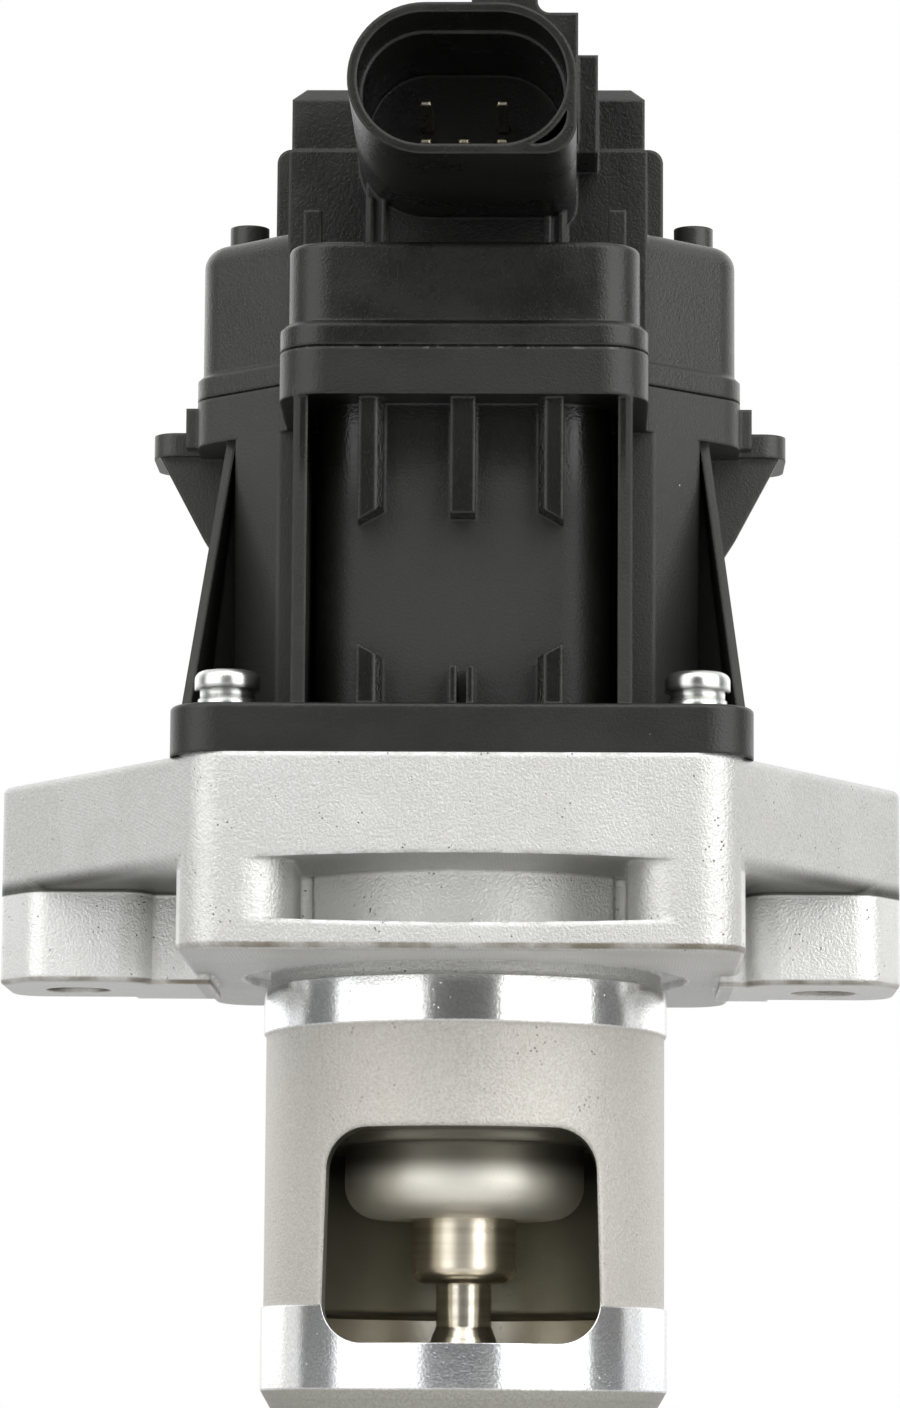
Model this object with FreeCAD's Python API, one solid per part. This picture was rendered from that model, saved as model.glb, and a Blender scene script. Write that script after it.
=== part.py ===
import FreeCAD, Part
import math
import os

# EGR valve: a cast aluminium valve body with a poppet valve, under a plastic actuator that holds a
# motor, two gear stages and a ramp cam. Units are mm.
# The frame stands on the valve axis at the face that seats on the engine: z is 0 there, +Z points up
# to the actuator and -Y points to the mouth of the connector.
# Sizes come from the photo, scaled by the 4 mm pitch of the connector blades.

# Clearances
RUN = 0.04
FREE = 0.35
SEAT_GAP = 0.05

# Longer than anything that a cutting box has to pass through
FAR = 80.0

# The motor and the output shaft
OUT_Y = 8.0
MOTOR_Y = OUT_Y - 24.4
CAN_R = 13.5
CAN_FLAT = CAN_R - 2.7

# Widths and depths, from the motor outwards
MOTOR_HALF = CAN_R + 0.4
PANEL_HALF = MOTOR_HALF + 1.7
RIM_FRONT_HALF = PANEL_HALF + 3.8
PLATE_SCREW_X = CAN_R + 4.1
PILLAR_HALF = PLATE_SCREW_X + 7.7
PILLAR_EDGE = PILLAR_HALF - 5.0
PILLAR_TAIL_HALF = PILLAR_HALF - 5.9
RIM_HALF = PILLAR_HALF + 4.6
BLOCK_HALF = RIM_HALF - 0.4
FLANGE_HALF = BLOCK_HALF + 0.9
SCREW_X = BLOCK_HALF - 4.9
PANEL_FRONT = MOTOR_Y - CAN_FLAT - 2.8
BLOCK_FRONT = PANEL_FRONT - 5.0
BLOCK_BACK = OUT_Y + 25.0

# Valve body: block and ears
BLOCK_CORNER = 5.0
BLOCK_TOP = 21.7
EAR_LOW = 10.0
LEFT_HOLE_X = -(BLOCK_HALF + 12.9)
RIGHT_HOLE_X = BLOCK_HALF + 9.5
HOLE_R = 3.6
EAR_REACH = 8.1
EAR_FRONT = -10.0
EAR_BACK = 8.6
EAR_TIP_Y = -5.2
EAR_TIP_ROUND = 2.0
EAR_BACK_ROUND = 4.0
EAR_ROOT = BLOCK_CORNER + 1.3
EAR_COVE = 1.6
EAR_EDGE = 0.8
CAST_EDGE = 0.7
EAR_WALL_BACK = 13.0
BOSS_CORNER = 3.6
UNDER_STEP = 1.2
SLOT_SIDE_X = BLOCK_HALF - 12.1
SLOT_ROLL_R = 5.5
SLOT_ROLL_END = 0.6
SLOT_LOW = 4.1
SLOT_HIGH = SLOT_LOW + 7.2
SLOT_BULGE_HIGH = 0.6
SLOT_BULGE_LOW = 0.4
SLOT_WALL_Y = BLOCK_FRONT + 15.3
SLOT_WALL_R = 32.0
SLOT_WALL_HALF = SLOT_SIDE_X - 1.3
SLOT_STRIP_DEEP = 5.7

# Valve body: spigot and gas chamber
REGISTER_R = 22.0
REGISTER_LOW = -4.8
CAST_R = REGISTER_R - 0.3
UNDER_RING_R = REGISTER_R + 2.2
SPIGOT_END = -46.0
BAND_LOW = SPIGOT_END + 2.8
BAND_HIGH = BAND_LOW + 8.7
SPIGOT_END_R = REGISTER_R - 1.6
GROOVE_R = REGISTER_R - 0.7
GROOVE_HIGH = 0.0
GROOVE_WIDE = 0.7
CHAMBER_R = REGISTER_R - 5.3
CHAMBER_HIGH = -17.0
SEAT_BORE_R = CHAMBER_R + 0.9
SEAT_BORE_CHAMFER = 0.9
NOSE_R = CHAMBER_R - 3.7
NOSE_LOW = CHAMBER_HIGH - 7.8
NOSE_ROUND = 3.6
WINDOW_HALF_TOP = CHAMBER_R - 2.5
WINDOW_HALF_LOW = WINDOW_HALF_TOP + 0.6
WINDOW_LOW = SPIGOT_END + 7.5
WINDOW_HIGH = WINDOW_LOW + 22.6
WINDOW_CORNER = 4.4
CAVITY_R = 13.4
CAVITY_FLOOR = 2.6

# Seat, guide and valve
SEAT_OUT_R = SEAT_BORE_R - 2.0
SEAT_R = SEAT_OUT_R - 1.6
SEAT_TOP = SPIGOT_END + 7.1
SEAT_BORE_HIGH = SEAT_TOP + 4.5
SEAT_END = SPIGOT_END + 0.8
SEAT_CONE_TOP = SEAT_END + 2.2
BUSH_R = 5.65
BUSH_LOW = NOSE_LOW - 7.0
BUSH_ROUND = 1.6
BUSH_HIGH = CAVITY_FLOOR
STEM_R = 3.0
STEM_FLARE_R = STEM_R + 0.5
STEM_FLARE_Z = SEAT_CONE_TOP + 5.4
STEM_SHOULDER = 43.5
STEM_TOP = STEM_SHOULDER + 6.1
STEM_END_R = 1.9
DISC_R = SEAT_R + 1.2
DISC_THICK = 1.1
LIFT = 6.5
GROOVE_COLLET_R = STEM_R - 0.7
COLLET_R_LOW = STEM_R + 1.0
COLLET_R_HIGH = COLLET_R_LOW + 0.6
RETAINER_LOW = 18.4
COLLET_LOW = RETAINER_LOW + 0.2
RETAINER_HIGH = RETAINER_LOW + 2.0
COLLET_HIGH = RETAINER_HIGH
RETAINER_R = 12.2
RETAINER_LIP = 6.9
SEAL_R = 7.0
SEAL_LOW = CAVITY_FLOOR
SEAL_HIGH = SEAL_LOW + 3.0
SPRING_R = 9.6
SPRING_WIRE = 1.8
SPRING_TURNS = 3.5
O_RING_IN = CAVITY_R + 1.8
O_RING_OUT = O_RING_IN + 2.2
O_RING_DEEP = 1.5

# Actuator housing
FLANGE_TOP = BLOCK_TOP + 5.2
MOULD_EDGE = 0.5
WALL = 2.5
RIM_LOW = FLANGE_TOP + 32.5
SEAM = RIM_LOW + 5.0
RIM_BEVEL_Y = BLOCK_FRONT + 19.55
RIM_BEVEL_END = RIM_BEVEL_Y + 8.61
RIM_FRONT_ROUND = 5.0
RIM_SIDE_ROUND = 5.0
RIM_BACK_ROUND = 7.0
RIM_WALL = 2.6
PILLAR_BACK = BLOCK_BACK - 1.6
PILLAR_SIDE_END = PILLAR_BACK - 12.9
PILLAR_TAIL_START = PILLAR_BACK - 8.2
PANEL_ROUND = 5.4
RIB_IN = PANEL_HALF + 0.6
RIB_OUT = RIB_IN + 1.5
RIB_FRONT = BLOCK_FRONT + 1.0
HOUSING_FLOOR = BLOCK_TOP + 2.5
MOTOR_BACK = MOTOR_Y + 11.4
WELL_BACK = PILLAR_BACK - 2.4
SCREW_FRONT_Y = BLOCK_FRONT + 7.0
SCREW_BACK_Y = BLOCK_BACK - 5.0
FIN_FOOT_X = FLANGE_HALF - 0.4
FIN_TOP_X = PILLAR_HALF + 0.9
FIN_THICK = 1.0
FIN_FOOT_Y = BLOCK_FRONT + 11.0
FIN_TOP_Y = BLOCK_FRONT + 26.0
FIN_BACK_Y = BLOCK_BACK - 17.0
POCKET_BACK_Y = -3.0
TAB_REACH = RIM_HALF + 5.3
TAB_HIGH = SEAM - 2.2
TAB_THICK = 2.6
TAB_FRONT = 0.0
TAB_BACK = 12.0
TAB_ROUND = 2.6
GUSSET_FOOT_Z = TAB_HIGH - 11.8
GUSSET_THICK = 1.6
POST_IN = RIM_HALF - 0.9
POST_OUT = RIM_HALF + 1.3
POST_FRONT = -4.2
POST_BACK = -2.2
POST_LOW = RIM_LOW + 0.3
POST_HIGH = SEAM - 0.3
TOP_RIB_FRONT = BLOCK_FRONT + 1.4
TOP_RIB_XS = (-9.6, 0.0, 9.2)
TOP_RIB_HALF = 1.3
TOP_RIB_LOW = RIM_LOW - 12.4
TOP_RIB_SLANT = 1.5
RIB_SLANT = 0.75
FOOT_RIB_HIGH = FLANGE_TOP + 5.7
BACK_RIB_XS = (-10.0, 0.0, 10.0)
BACK_RIB_HALF = 0.8

# Screws and sleeves
SLEEVE_RISE = 1.1
SCREW_R = 2.2
SLEEVE_BORE_R = SCREW_R + 0.3
SLEEVE_R = SLEEVE_BORE_R + 0.6
SCREW_DEEP = 11.0
SCREW_NECK_R = SCREW_R + 0.7
HEAD_R = SCREW_R + 1.25
HEAD_LOW = 1.0
HEAD_HIGH = 3.0
SOCKET_R = 1.5
SOCKET_DEEP = 1.6

# Motor
CAN_WALL = 1.2
CAP_LOW = HOUSING_FLOOR + 0.8
CAN_LOW = CAP_LOW + 2.2
CAN_HIGH = CAN_LOW + 29.7
CAP_LIP = CAN_LOW + 2.0
MAGNET_LOW = CAN_LOW + 4.2
MAGNET_HIGH = CAN_HIGH - 3.9
CORE_R = 9.3
MAGNET_IN_R = CORE_R + 0.4
CORE_LOW = CAN_LOW + 6.8
CORE_HIGH = CORE_LOW + 18.0
CORE_POLES = 5
POLE_NECK = 1.5
POLE_CAP = 1.7
WINDING_OUT_R = 7.2
WINDING_END = 1.7
MOTOR_SHAFT_R = 1.25
MOTOR_SHAFT_LOW = CAP_LOW + 0.8
BEARING_R = 3.0
BEARING_HIGH = CAN_HIGH + 1.5
BEARING_LONG = 3.4
COMMUTATOR_R = 3.2
COMMUTATOR_LONG = 2.6
COMMUTATOR_GAP = 0.3
COMMUTATOR_LOW = CORE_LOW - WINDING_END - COMMUTATOR_GAP - COMMUTATOR_LONG
BRUSH_WIDE = 2.2

# Motor plate and its screws
PLATE_LOW = CAN_HIGH + 0.1
PLATE_THICK = 2.6
PLATE_NECK = CAN_R
PLATE_FRONT = MOTOR_Y - 11.4
PLATE_BACK = MOTOR_Y + 11.4
PLATE_HALF = PLATE_SCREW_X + 3.0
PLATE_SCREW_Y = MOTOR_Y + 7.8
CAN_SCREW_X = 8.0
SMALL_SCREW_R = 1.25
SMALL_HEAD_R = 2.4
SMALL_HEAD = 1.6
SMALL_DEEP = 6.0

# Gear train
MODULE_1 = 0.6
PINION_1_TEETH = 10
WHEEL_1_TEETH = 30
MODULE_2 = 0.7
PINION_2_TEETH = 10
WHEEL_2_TEETH = 42
SHIFT = 0.4
CENTRE_PLAY = 0.1
THINNING = 0.06
PRESSURE = 20.0
FACE_A = 3.3
LEVEL_B = PLATE_LOW + PLATE_THICK + 4.9
FACE_B = 4.2
LEVEL_A = LEVEL_B + FACE_B + 0.8
MOTOR_SHAFT_TOP = LEVEL_A + FACE_A + 0.5
IDLER_AXLE_R = 1.5
IDLER_HUB_R = 3.0
IDLER_SPACER_R = 2.6
AXLE_TOP = LEVEL_A + FACE_A + 4.6
OUT_SHAFT_R = 2.5
OUT_SHAFT_TOP = LEVEL_B + FACE_B + 0.7
BUSH_OUT_R = OUT_SHAFT_R + 1.2
HUB_R = BUSH_OUT_R + 1.9
WASHER_R = OUT_SHAFT_R + 2.0
BOSS_R = 4.6
BOSS_TOP = LEVEL_B - 5.5
HUB_LOW = BOSS_TOP + 0.8
SHAFT_DEEP = 14.0

# Ramp cam and roller
SWING = 130.0
CAM_IN = HUB_R + 0.3
CAM_OUT = CAM_IN + 4.1
CAM_LEAD = 30.0
ROLLER_Z = LEVEL_B - 7.5
ROLLER_R = 4.0
ROLLER_HALF = 1.5
TRACK_UP = 4.5
ROLLER_PIN_R = 1.25
FORK_CHEEK = 1.1
FORK_SIDE_GAP = 0.12
FORK_HALF_X = 4.2
FORK_WING_X = 6.4
FORK_BASE = STEM_SHOULDER
FORK_BRIDGE = ROLLER_Z - ROLLER_R - 1.8
FORK_TOP = ROLLER_Z + 2.0
GUIDE_OUT_X = 9.4
GUIDE_SLOT = 5.2
GUIDE_HALF_Y = 4.3
GUIDE_TOP = FORK_BRIDGE + 1.0

# Raised box of the cover: plan
BOX_HALF = RIM_HALF - 10.4
BOX_FRONT = PANEL_FRONT + 14.0
BOX_BACK = BLOCK_BACK - 0.8

# Position sensor
CARRIER_R = 5.2
CARRIER_TOP = OUT_SHAFT_TOP + 4.2
MAGNET_R = 3.6
MAGNET_THICK = 2.0
BOARD_LOW = CARRIER_TOP + 2.4
BOARD_THICK = 1.4
BOARD_HALF = BOX_HALF - 3.2
BOARD_FRONT = -11.0
BOARD_STEP = -3.0
BOARD_BACK = BOX_BACK - 4.6
BOARD_NOTCH_X = 5.0
CHIP_HALF_X = 2.6
CHIP_HALF_Y = 2.2
CHIP_THICK = 1.4

# Gear cover
BAND_TOP = SEAM + 2.9
FRONT_HALF = RIM_FRONT_HALF - 0.9
FRONT_FACE = BLOCK_FRONT + 0.8
FRONT_TOP = BAND_TOP + 8.6
FRONT_ROUND = 4.6
SHOULDER_IN = 0.6
SHOULDER_TOP = FRONT_TOP + 6.1
SHOULDER_ROUND = 2.4
BOX_TOP = SHOULDER_TOP + 15.6
BOX_CHAMFER = 1.5
BOX_STEP_Z = BOX_TOP - 7.2
BOX_STEP = 0.3
WING_HALF = BOX_HALF + 1.9
WING_FRONT = -5.0
WING_TOP = BOX_TOP - 4.3
COVER_WALL = 2.2
PEDESTAL_HALF = 10.8
PEDESTAL_FRONT = -23.0
PEG_X = FRONT_HALF - 2.4
PEG_Y = FRONT_FACE + 3.6
PEG_HALF = 0.95
PEG_DEEP = 2.0
PEG_TOP = FRONT_TOP + 4.2
LUMP_X = RIM_HALF - 4.9
LUMP_Y = 5.0
LUMP_HALF = 2.2
LUMP_TOP = SHOULDER_TOP + 4.6
BRACKET_LOW = LEVEL_A + FACE_A + 1.6
BRACKET_HIGH = BRACKET_LOW + 4.8
SEAL_WIDE = 1.2
SEAL_HIGH_Z = 1.2
SEAM_DEEP = 0.35
SEAM_WIDE = 0.25

# Connector
MOUTH_Y = -50.0
SHROUD_HALF = 11.75
SHROUD_LOW = SHOULDER_TOP - 0.8
SHROUD_HIGH = SHROUD_LOW + 15.9
SHROUD_WALL = 1.0
SOCKET_STEP = 0.35
SOCKET_STEP_DEEP = 7.0
SHROUD_FLOOR = MOUTH_Y + 23.0
SHROUD_BACK = SHROUD_FLOOR + 4.0
SQUARE_ROUND = 3.2
LATCH_X = 7.6
LATCH_STEP_X = LATCH_X + 4.3
LATCH_TOP = SHROUD_HIGH + 5.9
LATCH_STEP_TOP = LATCH_TOP - 1.8
LATCH_COVE = 1.3
LATCH_FRONT = MOUTH_Y + 18.0
LATCH_BACK = LATCH_FRONT + 8.0
KEEPER_X = SHROUD_HALF + 2.3
KEEPER_TOP = SHROUD_HIGH + 1.7
KEEPER_LOW = SHROUD_LOW + 6.8
PIN_PITCH = 4.0
PIN_LOW_Z = SHROUD_LOW + 4.4
PIN_HIGH_Z = PIN_LOW_Z + 4.1
PIN_WIDE = 1.2
PIN_THICK = 0.63
PIN_TIP_Y = MOUTH_Y + 12.0
PIN_LOW_DROP_Y = -8.0
PIN_HIGH_DROP_Y = PIN_LOW_DROP_Y + 3.0

# Motor terminals
TERMINAL_X = -13.6
TERMINAL_PITCH = 2.4
TERMINAL_WIDE = 1.0
TERMINAL_THICK = 0.8
TERMINAL_LOW = HOUSING_FLOOR + 1.4
TERMINAL_BACK_Y = MOTOR_Y + 13.0
TERMINAL_ROOT_Y = MOTOR_Y + 6.8
TERMINAL_ROOT_STEP = 1.6
TERMINAL_ROOT_X = -2.0
TERMINAL_ROOT_BACK = 4.0


def vec(x, y, z):
    return FreeCAD.Vector(x, y, z)


UP = vec(0, 0, 1)


def box(x0, x1, y0, y1, z0, z1):
    return Part.makeBox(x1 - x0, y1 - y0, z1 - z0, vec(x0, y0, z0))


def rod(r, z0, z1, x=0.0, y=0.0):
    return Part.makeCylinder(r, z1 - z0, vec(x, y, z0))


def ring(r_out, r_in, z0, z1, x=0.0, y=0.0):
    return rod(r_out, z0, z1, x, y).cut(rod(r_in, z0, z1, x, y))


def fuse(shapes):
    """One shape out of many that touch or overlap."""
    if len(shapes) == 1:
        return shapes[0]
    return shapes[0].fuse(shapes[1:]).removeSplitter()


def mirrored(shape):
    """The same shape on the other side of the YZ plane."""
    return shape.mirror(vec(0, 0, 0), vec(1, 0, 0))


def both(shape):
    return [shape, mirrored(shape)]


def wire_of(corners):
    """A closed wire in XY through (x, y, radius) corners, each rounded by its radius."""
    count = len(corners)
    ends = []
    for i in range(count):
        x, y, r = corners[i]
        here = vec(x, y, 0)
        before = vec(corners[i - 1][0], corners[i - 1][1], 0)
        after = vec(corners[(i + 1) % count][0], corners[(i + 1) % count][1], 0)
        if r <= 0:
            ends.append((here, None, here))
            continue
        back = (before - here).normalize()
        ahead = (after - here).normalize()
        half = math.acos(max(-1.0, min(1.0, back.dot(ahead)))) / 2
        reach = r / math.tan(half)
        bisector = (back + ahead).normalize()
        middle = here + bisector * (r / math.sin(half) - r)
        ends.append((here + back * reach, middle, here + ahead * reach))
    edges = []
    for i in range(count):
        start, middle, end = ends[i]
        if middle is not None:
            edges.append(Part.Arc(start, middle, end).toShape())
        following = ends[(i + 1) % count][0]
        if (following - end).Length > 1e-6:
            edges.append(Part.makeLine(end, following))
    return Part.Wire(edges)


def prism(corners, z0, z1):
    """A plate between two heights with a rounded outline."""
    face = Part.Face(wire_of(corners))
    face.translate(vec(0, 0, z0))
    return face.extrude(vec(0, 0, z1 - z0))


def plate_xz(points, y0, y1):
    """A plate across Y with an outline of (x, z) points."""
    corners = [vec(x, y0, z) for x, z in points]
    corners.append(corners[0])
    face = Part.Face(Part.makePolygon(corners))
    return face.extrude(vec(0, y1 - y0, 0))


def plate_yz(points, x0, x1):
    """A plate across X with an outline of (y, z) points."""
    corners = [vec(x0, y, z) for y, z in points]
    corners.append(corners[0])
    face = Part.Face(Part.makePolygon(corners))
    return face.extrude(vec(x1 - x0, 0, 0))


def turned(profile, x=0.0, y=0.0):
    """A solid of revolution about a vertical axis, from (radius, z) points."""
    points = [vec(x + r, y, z) for r, z in profile]
    points.append(points[0])
    face = Part.Face(Part.makePolygon(points))
    return face.revolve(vec(x, y, 0), UP, 360)


def rounded_at(shape, radius, wanted):
    """Rounds the edges for which wanted(edge) is true."""
    edges = [e for e in shape.Edges if wanted(e)]
    return shape.makeFillet(radius, edges)


def level_edge(z, tolerance=0.01):
    """Tells whether an edge lies at one height."""
    def test(edge):
        low = edge.BoundBox.ZMin
        high = edge.BoundBox.ZMax
        return abs(low - z) < tolerance and abs(high - z) < tolerance
    return test


# Valve body

def block_outline():
    """Plan of the block's lower half."""
    r = BLOCK_CORNER
    h = BLOCK_HALF
    return [(-h, BLOCK_FRONT, r), (h, BLOCK_FRONT, r), (h, BLOCK_BACK, r), (-h, BLOCK_BACK, r)]


def ear_front_x(tip):
    """Where the ear's slanted front meets the line of the block's front. One rounding serves both."""
    dx = abs(tip) - (BLOCK_HALF - BLOCK_CORNER)
    dy = EAR_TIP_Y - (BLOCK_FRONT + BLOCK_CORNER)
    touch = math.atan2(dy, dx) - math.acos(BLOCK_CORNER / math.hypot(dx, dy))
    return BLOCK_HALF - BLOCK_CORNER + BLOCK_CORNER * math.tan((touch + math.pi / 2) / 2)


def ear_outline(hole_x, side):
    """Plan of the wedge from the block's front corner out to the ear's tip."""
    tip = hole_x + side * EAR_REACH
    near = side * (BLOCK_HALF - EAR_ROOT)
    return [
        (near, BLOCK_FRONT, 0),
        (side * ear_front_x(tip), BLOCK_FRONT, BLOCK_CORNER),
        (tip, EAR_TIP_Y, EAR_TIP_ROUND),
        (tip, EAR_BACK, EAR_BACK_ROUND),
        (side * (BLOCK_HALF + 3.0), EAR_WALL_BACK, 3.0),
        (near, EAR_WALL_BACK + 4.0, 0),
    ]


def ear_upper(hole_x, side):
    """The wedge, rounded above and below."""
    ear = prism(ear_outline(hole_x, side), EAR_LOW, BLOCK_TOP)
    ear = rounded_at(ear, EAR_COVE, level_edge(EAR_LOW))
    return rounded_at(ear, EAR_EDGE, level_edge(BLOCK_TOP))


def ear_lower(hole_x, side):
    """The bolt boss below the wedge, flush with its tip, and a web to the block."""
    tip = hole_x + side * EAR_REACH
    inner = hole_x - side * (EAR_REACH + 0.6)
    corner = side * ear_front_x(tip)
    share = (EAR_FRONT - BLOCK_FRONT) / (EAR_TIP_Y - BLOCK_FRONT)
    crossing = corner + (tip - corner) * share
    r = BOSS_CORNER
    top = EAR_LOW + EAR_COVE + 1.0
    boss = prism(
        [(inner, EAR_FRONT, r), (crossing, EAR_FRONT, r), (tip, EAR_TIP_Y, EAR_TIP_ROUND),
         (tip, EAR_BACK, EAR_BACK_ROUND), (inner, EAR_BACK, r)],
        0, top)
    boss = rounded_at(boss, CAST_EDGE, level_edge(0))
    a = min(side * (BLOCK_HALF - 2), inner + side * 3)
    b = max(side * (BLOCK_HALF - 2), inner + side * 3)
    web = box(a, b, EAR_FRONT + 3.0, EAR_WALL_BACK - 3.0, 0, top)
    return [boss, web]


def spigot():
    """The round spigot with its two machined bands."""
    return turned([
        (0, EAR_LOW), (UNDER_RING_R - 2, EAR_LOW), (UNDER_RING_R - 2, UNDER_STEP),
        (GROOVE_R, UNDER_STEP), (GROOVE_R, GROOVE_HIGH), (REGISTER_R, GROOVE_HIGH),
        (REGISTER_R, REGISTER_LOW), (CAST_R, REGISTER_LOW - 0.4), (CAST_R, BAND_HIGH),
        (REGISTER_R, BAND_HIGH), (REGISTER_R, BAND_LOW), (SPIGOT_END_R, SPIGOT_END), (0, SPIGOT_END)])


def front_slot():
    """The recess across the front of the block. Its side walls roll out into the block's face."""
    y = BLOCK_FRONT - 1
    back = SLOT_WALL_Y + SLOT_STRIP_DEEP
    h = SLOT_SIDE_X + SLOT_ROLL_R - SLOT_ROLL_END
    foot = Part.Arc(vec(-h, y, SLOT_LOW + SLOT_BULGE_LOW), vec(0, y, SLOT_LOW),
                    vec(h, y, SLOT_LOW + SLOT_BULGE_LOW)).toShape()
    lip = Part.Arc(vec(h, y, SLOT_HIGH - SLOT_BULGE_HIGH), vec(0, y, SLOT_HIGH),
                   vec(-h, y, SLOT_HIGH - SLOT_BULGE_HIGH)).toShape()
    right = Part.makeLine(vec(h, y, SLOT_LOW + SLOT_BULGE_LOW), vec(h, y, SLOT_HIGH - SLOT_BULGE_HIGH))
    left = Part.makeLine(vec(-h, y, SLOT_HIGH - SLOT_BULGE_HIGH), vec(-h, y, SLOT_LOW + SLOT_BULGE_LOW))
    mouth = Part.Face(Part.Wire([foot, right, lip, left]))
    slot = mouth.extrude(vec(0, back - y, 0))
    low = SLOT_LOW - 1
    high = SLOT_HIGH + 1
    wall = rod(SLOT_WALL_R, low, high, 0, SLOT_WALL_Y + SLOT_WALL_R)
    solid = [wall.common(box(-SLOT_WALL_HALF, SLOT_WALL_HALF, SLOT_WALL_Y - 1, FAR, low, high))]
    roll_y = BLOCK_FRONT + SLOT_ROLL_R
    for side in (-1, 1):
        solid.append(rod(SLOT_ROLL_R, low, high, side * (SLOT_SIDE_X + SLOT_ROLL_R), roll_y))
        a = min(side * SLOT_SIDE_X, side * BLOCK_HALF)
        solid.append(box(a, a + BLOCK_HALF - SLOT_SIDE_X, roll_y, back + 1, low, high))
    return slot.cut(solid)


def gas_chamber():
    """The hollow of the spigot: chamber, seat bore and the nose round the stem guide."""
    hollow = turned([
        (0, CHAMBER_HIGH), (CHAMBER_R, CHAMBER_HIGH), (CHAMBER_R, SEAT_BORE_HIGH),
        (SEAT_BORE_R, SEAT_BORE_HIGH - SEAT_BORE_CHAMFER), (SEAT_BORE_R, SPIGOT_END - 1),
        (0, SPIGOT_END - 1)])
    nose = rod(NOSE_R, NOSE_LOW, CHAMBER_HIGH + 1)
    nose = rounded_at(nose, NOSE_ROUND, level_edge(NOSE_LOW))
    return hollow.cut(nose)


def gas_window():
    """The window in the spigot's wall, a little wider at its foot."""
    a = WINDOW_HALF_TOP
    b = WINDOW_HALF_LOW
    r = WINDOW_CORNER
    face = Part.Face(wire_of([(-b, WINDOW_LOW, r), (b, WINDOW_LOW, r),
                              (a, WINDOW_HIGH, r), (-a, WINDOW_HIGH, r)]))
    face.rotate(vec(0, 0, 0), vec(1, 0, 0), 90)
    face.translate(vec(0, -REGISTER_R - 2, 0))
    hole = face.extrude(vec(0, REGISTER_R, 0))
    return hole.cut(rod(CHAMBER_R - 0.4, SPIGOT_END, CHAMBER_HIGH + 3))


def valve_body():
    base = prism(block_outline(), UNDER_STEP, EAR_LOW)
    base = rounded_at(base, CAST_EDGE, level_edge(UNDER_STEP))
    top = prism(block_outline(), EAR_LOW, BLOCK_TOP)
    parts = [base, top]
    for hole_x, side in ((LEFT_HOLE_X, -1), (RIGHT_HOLE_X, 1)):
        parts.append(ear_upper(hole_x, side))
        parts.extend(ear_lower(hole_x, side))
    body = fuse(parts)
    body = fuse([body, spigot()])
    body = body.cut(ring(UNDER_RING_R, GROOVE_R, GROOVE_HIGH, UNDER_STEP + GROOVE_WIDE))
    cuts = [front_slot(), gas_chamber(), gas_window()]
    cuts.append(rod(CAVITY_R, CAVITY_FLOOR, BLOCK_TOP + 1))
    cuts.append(rod(BUSH_R, NOSE_LOW - 1, CAVITY_FLOOR + 1))
    cuts.append(ring(O_RING_OUT, O_RING_IN, BLOCK_TOP - O_RING_DEEP, BLOCK_TOP + 1))
    for hole_x in (LEFT_HOLE_X, RIGHT_HOLE_X):
        cuts.append(rod(HOLE_R, -1, BLOCK_TOP + 1, hole_x, 0))
    for x, y in screw_places():
        cuts.append(rod(SCREW_R, BLOCK_TOP - SCREW_DEEP - 1, BLOCK_TOP + 1, x, y))
    return body.cut(cuts)


def seat_ring():
    return turned([
        (SEAT_R, SEAT_TOP), (SEAT_BORE_R, SEAT_TOP), (SEAT_BORE_R, SEAT_END), (SEAT_OUT_R, SEAT_END),
        (SEAT_OUT_R, SEAT_CONE_TOP - (SEAT_OUT_R - SEAT_R)), (SEAT_R, SEAT_CONE_TOP)])


def guide_bush():
    bush = rod(BUSH_R, BUSH_LOW, BUSH_HIGH)
    bush = rounded_at(bush, BUSH_ROUND, level_edge(BUSH_LOW))
    return bush.cut(rod(STEM_R + RUN, BUSH_LOW - 1, BUSH_HIGH + 1))


def stem_seal():
    """Lip seal on top of the guide: a metal-backed ring with a thin lip on the stem."""
    lip = STEM_R + RUN
    return turned([
        (lip, SEAL_LOW), (SEAL_R, SEAL_LOW), (SEAL_R, SEAL_HIGH - 1.4), (SEAL_R - 1.6, SEAL_HIGH),
        (lip + 0.6, SEAL_HIGH), (lip, SEAL_HIGH - 0.6)])


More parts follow.
